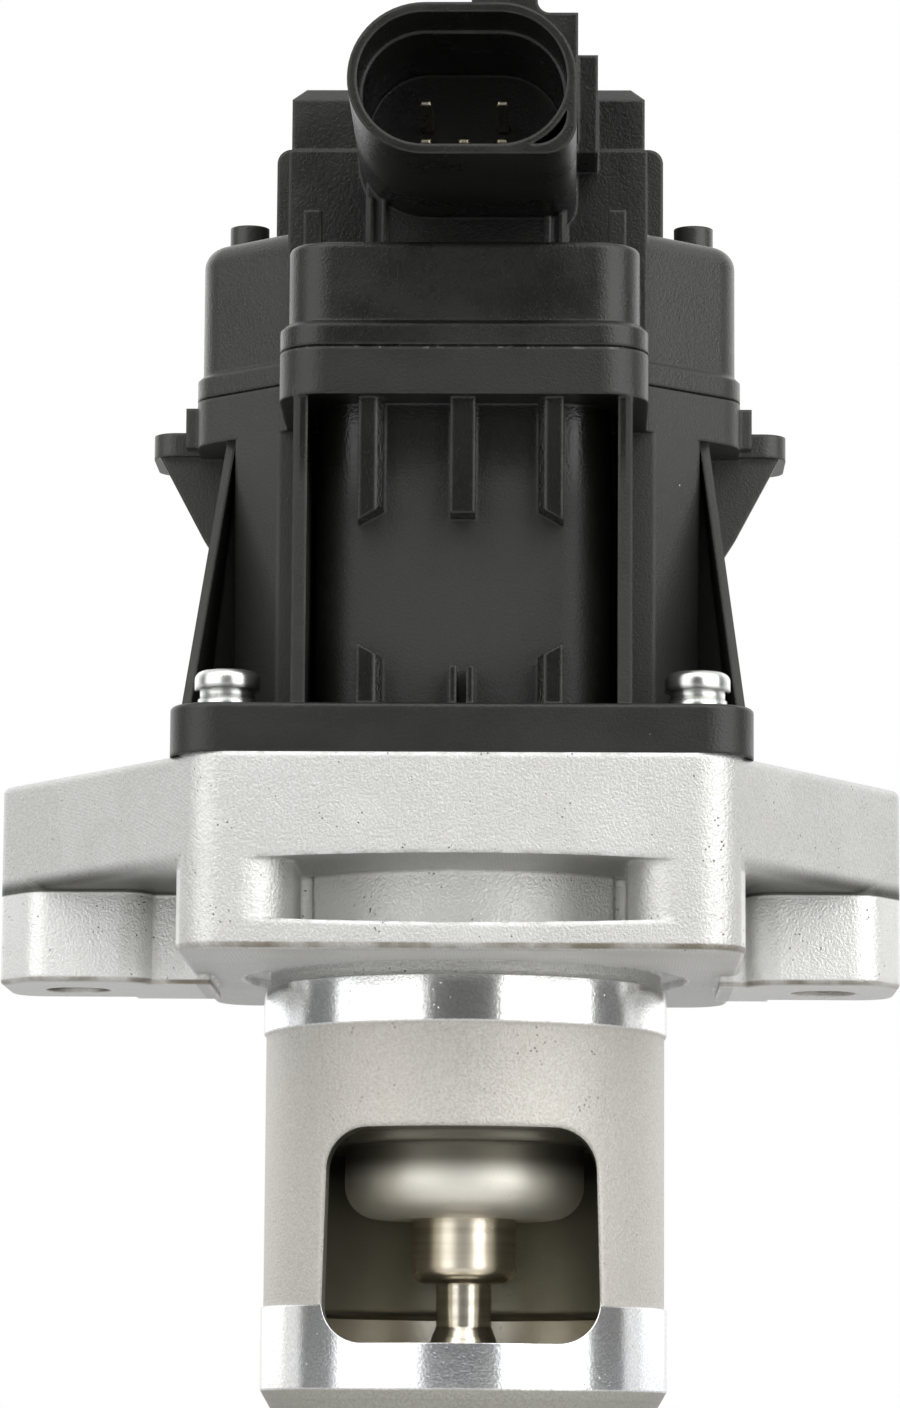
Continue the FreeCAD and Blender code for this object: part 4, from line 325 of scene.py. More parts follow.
def own_place(tree):
    """Coordinates that stay with the piece when it moves, in metres."""
    return tree.nodes.new("ShaderNodeTexCoord").outputs["Object"]


def stretched(tree, vector, x=1.0, y=1.0, z=1.0):
    made = tree.nodes.new("ShaderNodeMapping")
    plug(tree, vector, made.inputs["Vector"])
    made.inputs["Scale"].default_value = (x, y, z)
    return made.outputs[0]


def rgb(r, g, b):
    return (r, g, b, 1.0)


print("node helpers: plug, calc, spread, blend, noise, own_place, stretched, rgb")

# %% [markdown]
# ## Zones of a piece
# Finishes that end at an exact height or radius need masks. The piece's own coordinates give
# them: above, below and between turn a height or a radius into a mask, product keeps what
# several masks share, and layers lays colours over one another, each where its mask says so.

# %% Masks by height and radius
SOFT_EDGE = 0.00012


def axes_of(tree, place):
    split = tree.nodes.new("ShaderNodeSeparateXYZ")
    tree.links.new(place, split.inputs[0])
    return split.outputs


def length_of(tree, a, b):
    """How far the point (a, b) is from (0, 0)."""
    squares = calc(tree, "ADD", calc(tree, "MULTIPLY", a, a), calc(tree, "MULTIPLY", b, b))
    return calc(tree, "SQRT", squares)


def product(tree, *masks):
    """1 only where every mask is 1; a plain number makes the result weaker."""
    result = masks[0]
    for mask in masks[1:]:
        result = calc(tree, "MULTIPLY", result, mask)
    return result


def above(tree, value, limit):
    """1 above the limit, 0 below it, with a soft edge."""
    return spread(tree, value, limit - SOFT_EDGE, limit + SOFT_EDGE)


def below(tree, value, limit):
    return spread(tree, value, limit + SOFT_EDGE, limit - SOFT_EDGE)


def between(tree, value, low, high):
    return product(tree, above(tree, value, low), below(tree, value, high))


def layers(tree, start, *coats, kind="RGBA"):
    """Lays colours or values over one another, each where its mask is 1."""
    for mask, over in coats:
        start = blend(tree, mask, start, over, kind)
    return start


print("zones end softly over", SOFT_EDGE * 2000, "mm")

# %% [markdown]
# ## Shared effects as node groups
# A finish that several pieces share is built once as a node group with named inputs, and each
# material sets its own values. Grain gives a rough casting or a moulded skin its height, its
# speckle and its pits. Worn edges come from the Bevel node: where a rounded normal leaves the flat
# one, there is an edge. Stains give slow, cloudy changes of shade from handling.

# %% Node group tools
def start_group(name, inputs, outputs):
    """Each input is (name, kind, default), and each output is (name, kind)."""
    tree = bpy.data.node_groups.new(name, "ShaderNodeTree")
    for label, kind, value in inputs:
        socket = tree.interface.new_socket(name=label, in_out="INPUT",
                                           socket_type="NodeSocket" + kind)
        if value is not None:
            socket.default_value = value
    for label, kind in outputs:
        tree.interface.new_socket(name=label, in_out="OUTPUT",
                                  socket_type="NodeSocket" + kind)
    return tree, tree.nodes.new("NodeGroupInput").outputs, tree.nodes.new("NodeGroupOutput").inputs


def place_group(tree, group, **values):
    """Puts a group into a material; Pit_Share=0.3 sets its input Pit Share."""
    made = tree.nodes.new("ShaderNodeGroup")
    made.node_tree = group
    for label, value in values.items():
        plug(tree, value, made.inputs[label.replace("_", " ")])
    return made.outputs


print("group tools: start_group, place_group")

# %% Grain of castings and mouldings
def build_grain():
    tree, given, out = start_group(
        "surface_grain",
        [("Place", "Vector", None), ("Fine", "Float", 3000.0), ("Coarse", "Float", 500.0),
         ("Coarse Share", "Float", 0.4), ("Pit Share", "Float", 0.3)],
        [("Height", "Float"), ("Speckle", "Float"), ("Pits", "Float")])
    fine = noise(tree, given["Place"], given["Fine"], 3.0, 0.6)
    coarse = noise(tree, given["Place"], given["Coarse"], 4.0, 0.6)
    height = blend(tree, given["Coarse Share"], fine, coarse, "FLOAT")
    cells = tree.nodes.new("ShaderNodeTexVoronoi")
    plug(tree, given["Place"], cells.inputs["Vector"])
    plug(tree, calc(tree, "MULTIPLY", given["Coarse"], 1.7), cells.inputs["Scale"])
    slow = noise(tree, given["Place"], calc(tree, "MULTIPLY", given["Coarse"], 0.35), 2.0)
    rare = spread(tree, slow, 0.52, 0.66)
    dots = spread(tree, cells.outputs["Distance"], 0.22, 0.05)
    pits = product(tree, dots, rare, given["Pit Share"])
    plug(tree, calc(tree, "SUBTRACT", height, pits), out["Height"])
    plug(tree, spread(tree, fine, 0.3, 0.7), out["Speckle"])
    plug(tree, pits, out["Pits"])
    return tree


grain_group = build_grain()
print("group", grain_group.name, [s.name for s in grain_group.interface.items_tree])

# %% Worn edges
def build_edge_wear():
    tree, given, out = start_group(
        "edge_wear",
        [("Place", "Vector", None), ("Radius", "Float", 0.0008), ("Breakup", "Float", 900.0)],
        [("Mask", "Float"), ("Soft Normal", "Vector")])
    bevel = tree.nodes.new("ShaderNodeBevel")
    bevel.samples = 6
    plug(tree, given["Radius"], bevel.inputs["Radius"])
    flat = tree.nodes.new("ShaderNodeNewGeometry")
    dot = tree.nodes.new("ShaderNodeVectorMath")
    dot.operation = "DOT_PRODUCT"
    tree.links.new(bevel.outputs[0], dot.inputs[0])
    tree.links.new(flat.outputs["Normal"], dot.inputs[1])
    turned_away = spread(tree, dot.outputs["Value"], 0.998, 0.86)
    broken = spread(tree, noise(tree, given["Place"], given["Breakup"], 3.0), 0.35, 0.6)
    plug(tree, calc(tree, "MULTIPLY", turned_away, broken, clamp=True), out["Mask"])
    tree.links.new(bevel.outputs[0], out["Soft Normal"])
    return tree


edge_group = build_edge_wear()
print("group", edge_group.name)

# %% Stains and slow changes of shade
def build_stains():
    tree, given, out = start_group(
        "handling_stains",
        [("Place", "Vector", None), ("Size", "Float", 45.0), ("Contrast", "Float", 1.0)],
        [("Mask", "Float")])
    warped = tree.nodes.new("ShaderNodeVectorMath")
    warped.operation = "ADD"
    wobble = tree.nodes.new("ShaderNodeTexNoise")
    plug(tree, given["Place"], wobble.inputs["Vector"])
    wobble.inputs["Scale"].default_value = 30.0
    small = tree.nodes.new("ShaderNodeVectorMath")
    small.operation = "SCALE"
    small.inputs["Scale"].default_value = 0.02
    tree.links.new(wobble.outputs["Color"], small.inputs[0])
    plug(tree, given["Place"], warped.inputs[0])
    tree.links.new(small.outputs[0], warped.inputs[1])
    cloud = noise(tree, warped.outputs[0], given["Size"], 5.0, 0.6)
    edge = calc(tree, "DIVIDE", 0.22, given["Contrast"])
    low, high = calc(tree, "SUBTRACT", 0.5, edge), calc(tree, "ADD", 0.5, edge)
    plug(tree, spread(tree, cloud, low, high), out["Mask"])
    return tree


stain_group = build_stains()
print("group", stain_group.name)

# %% [markdown]
# ## Tool marks of the lathe
# A turning tool leaves fine rings: on the valve's stem, the guide and the spigot's two bands. The
# rings depend only on the height along the axis, so noise stretched flat in X and Y gives them.

# %% Turned marks
def build_turned_marks():
    tree, given, out = start_group(
        "turned_marks",
        [("Place", "Vector", None), ("Feed", "Float", 9000.0), ("Chatter", "Float", 0.3)],
        [("Height", "Float"), ("Shade", "Float")])
    flat = stretched(tree, given["Place"], 0.04, 0.04, 1.0)
    rings = noise(tree, flat, given["Feed"], 2.0, 0.4)
    broad = noise(tree, flat, calc(tree, "MULTIPLY", given["Feed"], 0.12), 3.0, 0.5)
    plug(tree, blend(tree, given["Chatter"], rings, broad, "FLOAT"), out["Height"])
    plug(tree, spread(tree, broad, 0.3, 0.7), out["Shade"])
    return tree


turned_group = build_turned_marks()
print("group", turned_group.name)

# %% [markdown]
# ## Dust
# A black part never photographs clean. A few bright specks of dust sit on it, each a fraction of a
# millimetre. Cells with a random number each give them: only the cells with a low number get a dot.

# %% Specks of dust
def build_dust():
    tree, given, out = start_group(
        "dust_specks",
        [("Place", "Vector", None), ("Spacing", "Float", 260.0), ("Share", "Float", 0.1)],
        [("Mask", "Float")])
    cells = tree.nodes.new("ShaderNodeTexVoronoi")
    plug(tree, given["Place"], cells.inputs["Vector"])
    plug(tree, given["Spacing"], cells.inputs["Scale"])
    chance = tree.nodes.new("ShaderNodeSeparateColor")
    tree.links.new(cells.outputs["Color"], chance.inputs[0])
    chosen = calc(tree, "LESS_THAN", chance.outputs[0], given["Share"])
    size = spread(tree, chance.outputs[1], 0.0, 1.0, 0.015, 0.045, smooth=False)
    dot = calc(tree, "LESS_THAN", cells.outputs["Distance"], size)
    plug(tree, calc(tree, "MULTIPLY", dot, chosen), out["Mask"])
    return tree


dust_group = build_dust()
print("group", dust_group.name)

# %% [markdown]
# ## Sanding arcs
# The front of the block was dressed with a disc after casting, which left faint arcs that all
# bend round the same point. A ring wave round one axis makes them, and a slow noise breaks them
# up, so they fade in and out as real scratches do.

# %% Sanding arcs
ARC_SHIFT = (0.055, 0.0, 0.020)


def build_arcs():
    tree, given, out = start_group(
        "sanding_arcs", [("Place", "Vector", None), ("Pitch", "Float", 900.0)], [("Mask", "Float")])
    moved = tree.nodes.new("ShaderNodeMapping")
    plug(tree, given["Place"], moved.inputs["Vector"])
    moved.inputs["Location"].default_value = ARC_SHIFT
    wave = tree.nodes.new("ShaderNodeTexWave")
    wave.wave_type = "RINGS"
    wave.rings_direction = "Y"
    wave.inputs["Distortion"].default_value = 1.5
    wave.inputs["Detail"].default_value = 2.0
    plug(tree, moved.outputs[0], wave.inputs["Vector"])
    plug(tree, given["Pitch"], wave.inputs["Scale"])
    there = spread(tree, noise(tree, given["Place"], 110.0, 2.0), 0.45, 0.62)
    plug(tree, calc(tree, "MULTIPLY", wave.outputs["Fac"], there), out["Mask"])
    return tree


arc_group = build_arcs()
print("group", arc_group.name)

# %% [markdown]
# ## Putting a finish together
# Every material ends in one Principled shader with a bump. finish_shader makes that end once, from
# the colour, roughness, metal share and height that the material worked out, and rounds its edges
# with the soft normal of the edge effect where there is one. dress hands a material to its pieces.

# %% Shader with bump
def finish_shader(made, color, rough, metal, height, depth, normal=None, coat=0.0):
    tree = made.node_tree
    shader = tree.nodes.new("ShaderNodeBsdfPrincipled")
    plug(tree, color, shader.inputs["Base Color"])
    plug(tree, rough, shader.inputs["Roughness"])
    plug(tree, metal, shader.inputs["Metallic"])
    plug(tree, coat, shader.inputs["Coat Weight"])
    bump = tree.nodes.new("ShaderNodeBump")
    bump.inputs["Distance"].default_value = depth
    bump.inputs["Strength"].default_value = 1.0
    plug(tree, height, bump.inputs["Height"])
    plug(tree, normal, bump.inputs["Normal"])
    tree.links.new(bump.outputs[0], shader.inputs["Normal"])
    out = tree.nodes.new("ShaderNodeOutputMaterial")
    tree.links.new(shader.outputs[0], out.inputs["Surface"])


def dress(material, *names):
    for name in names:
        node[name].data.materials.clear()
        node[name].data.materials.append(material)
    print(material.name, "->", ", ".join(names))


print("finish helpers: finish_shader, dress")

# %% [markdown]
# ## The aluminium body: where its finishes end
# One casting carries several finishes, and they end at exact heights and radii. We could paint
# them as areas, but a mask from the piece's own coordinates ends exactly where the tool stopped.
# Heights count from the mounting face, the spigot hangs below it, and the front looks along -Y.
# The spigot has a turned band at its top and at its foot, a chamfer below the lower band, the
# bore for the seat, and inside it a nose round the stem's guide, under a top painted darker as
# painted shade. The block has the hollow wall of the slot with a flat strip at each end, the lower
# edges, the bosses and the places under the ears' overhang that get a painted shadow.

# %% Heights and radii of the spigot's finishes
SPIGOT_TOP = 0.0001
SPIGOT_OUTSIDE_R = 0.0224
SPIGOT_INSIDE_R = 0.0213
TOP_BAND_LOW = -0.0049
LOW_BAND = (-0.0433, -0.0344)
SEAT_BORE_R = (0.0172, 0.0182)
SEAT_BORE_TOP = -0.0345
NOSE_R = 0.0132
NOSE_LOW = -0.0252
# Painted shade: heights over which the inside is painted darker towards the top.
INSIDE_TOP_SHADE = (-0.0212, -0.0184)


def spigot_zones(tree, radius, z):
    """Masks of the round part below the mounting face."""
    spigot = product(tree, below(tree, z, SPIGOT_TOP), below(tree, radius, SPIGOT_OUTSIDE_R))
    inside = product(tree, spigot, below(tree, radius, SPIGOT_INSIDE_R))
    wall = product(tree, spigot, above(tree, radius, SPIGOT_INSIDE_R))
    bands = calc(tree, "ADD", above(tree, z, TOP_BAND_LOW), between(tree, z, *LOW_BAND), clamp=True)
    bore = product(tree, spigot, between(tree, radius, *SEAT_BORE_R), below(tree, z, SEAT_BORE_TOP))
    return {
        "spigot": spigot,
        "inside": inside,
        "bore": bore,
        "machined": calc(tree, "MAXIMUM", product(tree, wall, bands), bore),
        "chamfer": product(tree, spigot, below(tree, z, LOW_BAND[0])),
        "nose": product(tree, inside, below(tree, radius, NOSE_R), above(tree, z, NOSE_LOW)),
        "painted_top_shade": spread(tree, z, *INSIDE_TOP_SHADE),
    }


print("turned bands of", round((LOW_BAND[1] - LOW_BAND[0]) * 1000, 1), "and",
      round(-TOP_BAND_LOW * 1000, 1), "mm")

# %% Heights and reaches of the block's finishes
SLOT_HEIGHTS = (0.0030, 0.0125)
SLOT_WALL_AXIS_Y = 0.0123
SLOT_WALL_R = 0.0320
SLOT_WALL_BAND = 0.0003
SLOT_MOUTH_Y = -0.0100
STRIP_Y = (-0.0143, -0.0137)
STRIP_REACH = 0.0270
EAR_EDGE = (0.0001, 0.0006)
BLOCK_EDGE = (0.0014, 0.0020)
BLOCK_EDGE_Y = -0.0290
EDGES_FROM_R = 0.0235
EARS_FROM_X = 0.0290
BOSS_TOP = 0.0099
# Painted shadow: where the darkening under each ear's overhang starts, fades and deepens.
EAR_SHADOW_LOW = 0.0097
EAR_SHADOW_FADE = (0.0117, 0.0101)
EAR_SHADOW_DEPTH_Y = (-0.0340, -0.0150)


def block_zones(tree, x, y, z, radius):
    """Masks of the block and its two ears."""
    from_middle = calc(tree, "ABSOLUTE", x)
    on_ears = above(tree, from_middle, EARS_FROM_X)
    slot_height = between(tree, z, *SLOT_HEIGHTS)
    to_axis = length_of(tree, x, calc(tree, "SUBTRACT", SLOT_WALL_AXIS_Y, y))
    off_wall = calc(tree, "ABSOLUTE", calc(tree, "SUBTRACT", to_axis, SLOT_WALL_R))
    wall = product(tree, below(tree, off_wall, SLOT_WALL_BAND), slot_height,
                   below(tree, y, SLOT_MOUTH_Y))
    strips = product(tree, between(tree, y, *STRIP_Y), slot_height,
                     below(tree, from_middle, STRIP_REACH))
    block_edge = product(tree, between(tree, z, *BLOCK_EDGE), below(tree, y, BLOCK_EDGE_Y))
    edges = calc(tree, "MAXIMUM", between(tree, z, *EAR_EDGE), block_edge)
    # Painted shadow under each ear's overhang, darkest deep under it.
    hollow = product(tree, spread(tree, z, *EAR_SHADOW_FADE), above(tree, z, EAR_SHADOW_LOW), on_ears)
    return {
        # Painted light: the slot wall and its end strips, painted near white in place of the light
        # that hardly reaches into the slot.
        "slot": calc(tree, "MAXIMUM", wall, strips),
        "low_edge": product(tree, edges, above(tree, radius, EDGES_FROM_R)),
        # Painted light: the bosses, painted brighter in place of the light that the ears above them
        # block.
        "boss": product(tree, below(tree, z, BOSS_TOP), on_ears),
        "hollow": product(tree, hollow, spread(tree, y, *EAR_SHADOW_DEPTH_Y, 0.10, 0.97)),
    }


print("slot between", SLOT_HEIGHTS[0] * 1000, "and", SLOT_HEIGHTS[1] * 1000, "mm above the face")

# %% [markdown]
# ## The aluminium body: its colours
# The block and ears are blasted: pale, matt and speckled, with dark pinholes, faint sanding arcs,
# edges rubbed brighter and a brown smear along the lower edges. The bosses are painted brighter
# as painted light, in place of the light that the ears above them block. A painted shadow darkens
# the face under each ear's overhang. The wall at the back of the slot is painted near white as
# painted light, because little light reaches into the slot. The cast wall of the spigot is greyer
# and warmer, and its downward-facing chamfer is painted dark as painted shade, with a warm tint of
# its own. Inside, hot gas has left a brown satin skin round a brighter nose, with painted shade
# darkening its top, where little light reaches up. Each colour is laid over the last one.

# %% Colours of the casting
def blasted_and_painted_light(tree, place, zones, effects):
    speckle, pits = effects["grain"]["Speckle"], effects["grain"]["Pits"]
    not_pit = calc(tree, "SUBTRACT", 1.0, pits)
    smear = spread(tree, noise(tree, place, 160.0, 3.0), 0.35, 0.65, 0.25, 0.95)
    # Blasted colour with pinholes, arcs and wear, plus painted light on the bosses and the slot
    # wall and a painted shadow under the ears.
    return layers(
        tree, blend(tree, speckle, rgb(0.51, 0.51, 0.495), rgb(0.64, 0.64, 0.625)),
        (product(tree, effects["stains"]["Mask"], 0.3), rgb(0.58, 0.57, 0.54)),
        (product(tree, effects["arcs"]["Mask"], 0.35), rgb(0.73, 0.73, 0.72)),
        (effects["wear"]["Mask"], rgb(0.88, 0.88, 0.87)),
        # Painted light on the bosses.
        (product(tree, zones["boss"], not_pit, 0.55), rgb(0.90, 0.90, 0.88)),
        # Painted shadow under the ears' overhang.
        (zones["hollow"], rgb(0.075, 0.075, 0.065)),
        (product(tree, zones["low_edge"], smear), rgb(0.20, 0.175, 0.13)),
        (pits, rgb(0.12, 0.115, 0.10)),
        # Painted light: the slot wall, painted near white.
        (product(tree, zones["slot"], not_pit), rgb(0.97, 0.97, 0.95)))


def spigot_colours(tree, zones, effects):
    """The colours of the cast wall, the inside, the turned metal and the chamfer, whose darkness is
    painted shade.
    """
    speckle, stains = effects["grain"]["Speckle"], effects["stains"]["Mask"]
    some_stains = product(tree, stains, 0.4)
    cast_wall = layers(
        tree, blend(tree, speckle, rgb(0.46, 0.445, 0.41), rgb(0.60, 0.585, 0.55)),
        (some_stains, rgb(0.50, 0.47, 0.42)))
    satin_and_top_shade = layers(
        tree, blend(tree, stains, rgb(0.33, 0.32, 0.265), rgb(0.43, 0.415, 0.35)),
        (zones["nose"], rgb(0.80, 0.775, 0.70)),
        # Painted shade darkening the top of the inside.
        (zones["painted_top_shade"], rgb(0.16, 0.15, 0.12)))
    bright = layers(
        tree, blend(tree, speckle, rgb(0.64, 0.66, 0.68), rgb(0.88, 0.89, 0.90)),
        (some_stains, rgb(0.70, 0.68, 0.61)))
    # Painted shade: the downward-facing chamfer is painted dark; its warm tint is its own.
    shaded_chamfer = blend(tree, speckle, rgb(0.33, 0.325, 0.29), rgb(0.42, 0.41, 0.37))
    return cast_wall, satin_and_top_shade, bright, shaded_chamfer


print("colours: blasted, cast wall, satin, bright, dull")

# %% [markdown]
# ## The aluminium body: gloss and the whole finish
# A blasted surface is metal too, so it is mostly metallic but rough, and the turned bands and the
# seat bore are much smoother. The turned bands need more than fine rings: in the photograph their
# dark stripes are mottled, because the tool tore the soft metal a little. A weak share of the
# casting's grain does that. The edge radius is small where a tool cut and larger on cast edges.

# %% Cast and turned aluminium
CAST_EDGE_R = 0.0009
TURNED_EDGE_R = 0.00015


def casting_effects(tree, place, machined):
    edge_radius = spread(tree, machined, 0.0, 1.0, CAST_EDGE_R, TURNED_EDGE_R, smooth=False)
    return {
        "grain": place_group(tree, grain_group, Place=place, Fine=3400.0, Coarse=900.0,
                             Coarse_Share=0.35, Pit_Share=0.9),
        "wear": place_group(tree, edge_group, Place=place, Radius=edge_radius, Breakup=500.0),
        "stains": place_group(tree, stain_group, Place=place, Size=38.0, Contrast=1.2),
        "turned": place_group(tree, turned_group, Place=place, Feed=11000.0, Chatter=0.35),
        "arcs": place_group(tree, arc_group, Place=place, Pitch=900.0),
    }


def cast_aluminium():
    made = new_material("cast_aluminium")
    tree = made.node_tree
    place = own_place(tree)
    x, y, z = axes_of(tree, place)
    radius = length_of(tree, x, y)
    zones = {**spigot_zones(tree, radius, z), **block_zones(tree, x, y, z, radius)}
    effects = casting_effects(tree, place, zones["machined"])
    cast_wall, satin_and_top_shade, bright, shaded_chamfer = spigot_colours(tree, zones, effects)
    color = layers(
        tree, blasted_and_painted_light(tree, place, zones, effects),
        (zones["spigot"], cast_wall), (zones["inside"], satin_and_top_shade), (zones["machined"], bright),
        (zones["chamfer"], shaded_chamfer), (zones["bore"], rgb(0.66, 0.63, 0.56)))
    rough = layers(
        tree, 0.44, (zones["spigot"], 0.46), (zones["slot"], 0.34),
        (effects["wear"]["Mask"], 0.40), (zones["inside"], 0.36), (zones["nose"], 0.50),
        (zones["machined"], 0.16), (zones["bore"], 0.30), kind="FLOAT")
    metal = layers(tree, 0.88, (zones["spigot"], 0.60), (zones["inside"], 0.80),
                   (zones["machined"], 1.0), kind="FLOAT")
    grain_share = layers(tree, 1.0, (zones["inside"], 0.25), (zones["machined"], 0.11),
                         kind="FLOAT")
    grain = product(tree, effects["grain"]["Height"], grain_share)
    rings = product(tree, effects["turned"]["Height"], zones["machined"], 0.010)
    finish_shader(made, color, rough, metal, calc(tree, "ADD", grain, rings), depth=0.00015,
                  normal=effects["wear"]["Soft Normal"])
    return made


dress(cast_aluminium(), "valve_body")

# %% [markdown]
# ## Black moulded plastic
# Housing and cover are glass-filled plastic. It is nearly black, but never quite: the skin mirrors
# the white studio softly, fine spark texture breaks that up, and edges and ribs look greyer.
# Diffuse colour alone would look like rubber, so most of the brightness comes from the gloss.
# The tool was polished between the ribs and under the rim, so these places mirror the dark side
# of the room and look blacker; there the roughness drops. The flanks are painted lighter as painted
# light, where the side lamps catch them, a little welding flash shows in the seam between housing
# and cover, and dust lies on both.

# %% Colour of the plastic
SEAM = (0.06420, 0.06462)
SEAM_FRONT_Y = (-0.0330, -0.0338)
# Painted light: where the flanks beside the panel are painted lighter.
LIT_FLANKS_X = (0.0165, 0.0215)
LIT_FLANKS_FROM_Z = (0.0270, 0.0290)


def plastic_colour(tree, place, dark, light, wear, stains):
    """Cloudy black with worn edges, seam flash, flanks painted lighter as painted light, and dust.
    """
    x, y, z = axes_of(tree, place)
    dust = place_group(tree, dust_group, Place=place, Spacing=260.0, Share=0.10)
    torn = spread(tree, noise(tree, place, 1300.0, 4.0), 0.54, 0.66)
    flash = product(tree, between(tree, z, *SEAM), spread(tree, y, *SEAM_FRONT_Y), torn, 0.55)
    # Painted light: the flanks are painted lighter, where the side lamps catch them.
    painted_lit_flanks = product(tree, spread(tree, calc(tree, "ABSOLUTE", x), *LIT_FLANKS_X),
                     spread(tree, z, *LIT_FLANKS_FROM_Z))
    return layers(
        tree, blend(tree, stains, dark, light),
        (product(tree, wear, 0.5), rgb(0.040, 0.040, 0.037)),
        (flash, rgb(0.17, 0.17, 0.16)),
        # Painted light on the flanks.
        (painted_lit_flanks, rgb(0.027, 0.027, 0.0235)),
        (dust["Mask"], rgb(0.45, 0.44, 0.42)))


print("seam at", SEAM[0] * 1000, "mm above the mounting face")

# %% Polished places of the housing
RIBS_Y = (-0.0345, -0.0307)
RIBS_Z = (0.0272, 0.0592)
RIBS_X = 0.0150
PANEL_X = 0.0170
RIM_LOW = 0.0594
SHADE_UNDER_RIM = (0.0470, 0.0570)
FLANGE_TOP = 0.0269


def housing_roughness(tree, place, rough):
    """Smoother on the ribs and under the rim, and a little on the rim and the flange."""
    x, y, z = axes_of(tree, place)
    ribs = product(tree, between(tree, y, *RIBS_Y), between(tree, z, *RIBS_Z),
                   between(tree, x, -RIBS_X, RIBS_X))
    under_rim = product(tree, spread(tree, z, *SHADE_UNDER_RIM), below(tree, z, RIM_LOW),
                        between(tree, x, -PANEL_X, PANEL_X))
    bands = calc(tree, "ADD", above(tree, z, RIM_LOW), below(tree, z, FLANGE_TOP), clamp=True)
    return layers(tree, rough, (calc(tree, "MAXIMUM", ribs, under_rim), 0.12),
                  (product(tree, bands, 0.7), 0.30), kind="FLOAT")


print("rim from", RIM_LOW * 1000, "mm, flange up to", FLANGE_TOP * 1000, "mm")

# %% Moulded plastic
def moulded_plastic(name, dark, light, rough_low, rough_high, polished_places=False):
    made = new_material(name)
    tree = made.node_tree
    place = own_place(tree)
    grain = place_group(tree, grain_group, Place=place, Fine=3600.0, Coarse=900.0,
                        Coarse_Share=0.35, Pit_Share=0.04)
    wear = place_group(tree, edge_group, Place=place, Radius=0.0005, Breakup=350.0)
    stains = place_group(tree, stain_group, Place=place, Size=70.0, Contrast=1.3)["Mask"]
    color = plastic_colour(tree, place, dark, light, wear["Mask"], stains)
    rough = spread(tree, stains, 0.0, 1.0, rough_low, rough_high, smooth=False)
    if polished_places:
        rough = housing_roughness(tree, place, rough)
    finish_shader(made, color, rough, 0.0, grain["Height"], depth=0.00007,
                  normal=wear["Soft Normal"])
    return made


dress(moulded_plastic("housing_plastic", rgb(0.0055, 0.0058, 0.0050), rgb(0.0095, 0.0098, 0.0085),
                      0.46, 0.58, polished_places=True),
      "actuator_housing")
dress(moulded_plastic("cover_plastic", rgb(0.0045, 0.0045, 0.0041), rgb(0.0080, 0.0080, 0.0070),
                      0.22, 0.33),
      "gear_cover")
dress(moulded_plastic("inner_plastic", rgb(0.020, 0.020, 0.021), rgb(0.032, 0.032, 0.033),
                      0.42, 0.55),
      "motor_end_cap", "output_gear", "magnet_carrier", "position_sensor")

# %% [markdown]
# ## Turned and ground steel
# The stem, its guide and the valve disc are heat resistant steel: a little warm and brown against
# the zinc of the screws. All are metal with turned rings; only colour, gloss, rings and edges
# differ, so one recipe serves all of them.

# %% Steel recipe
def turned_metal(name, dark, light, rough_low, rough_high, feed=9000.0, ring_depth=0.00003,
                 edge_radius=0.00025):
    made = new_material(name)
    tree = made.node_tree
    place = own_place(tree)
    turned = place_group(tree, turned_group, Place=place, Feed=feed, Chatter=0.4)
    wear = place_group(tree, edge_group, Place=place, Radius=edge_radius, Breakup=1200.0)
    stains = place_group(tree, stain_group, Place=place, Size=140.0, Contrast=0.9)
    color = blend(tree, turned["Shade"], dark, light)
    color = blend(tree, calc(tree, "MULTIPLY", wear["Mask"], 0.6), color, light)
    rough = spread(tree, stains["Mask"], 0.0, 1.0, rough_low, rough_high, smooth=False)
    finish_shader(made, color, rough, 1.0, turned["Height"], ring_depth, wear["Soft Normal"])
    return made


dress(turned_metal("guide_steel", rgb(0.66, 0.60, 0.49), rgb(0.80, 0.74, 0.62), 0.26, 0.33,
                   ring_depth=0.000008),
      "guide_bush")
dress(turned_metal("valve_steel", rgb(0.52, 0.48, 0.40), rgb(0.64, 0.60, 0.51), 0.16, 0.24,
                   ring_depth=0.00001),
      "poppet_valve", "seat_ring")
dress(turned_metal("zinc_steel", rgb(0.58, 0.59, 0.57), rgb(0.76, 0.77, 0.74), 0.20, 0.30,
                   feed=5000.0, ring_depth=0.00001, edge_radius=0.0009),
      "housing_screws", "screw_sleeves", "plate_screws", "board_screws")
dress(turned_metal("ground_steel", rgb(0.48, 0.48, 0.49), rgb(0.62, 0.62, 0.62), 0.18, 0.28),
      "motor_shaft", "idler_axle", "output_shaft", "roller_pin", "cam_roller", "stem_collets",
      "drive_pinion", "thrust_washer", "roller_fork")
dress(turned_metal("sintered_bronze", rgb(0.36, 0.25, 0.13), rgb(0.52, 0.38, 0.22), 0.42, 0.55),
      "motor_bearings", "output_bush")

# %% [markdown]
# ## Pressed sheet, laminations and spring wire
# The motor's can and the plates are zinc-plated sheet with rolling marks along one direction. The
# armature core is a stack of thin stampings, which shows as fine level lines. The same recipe
# gives both, with wide and weak lines for the sheet and strong ones for the stampings. The spring
# is drawn wire and takes the recipe with dark values.

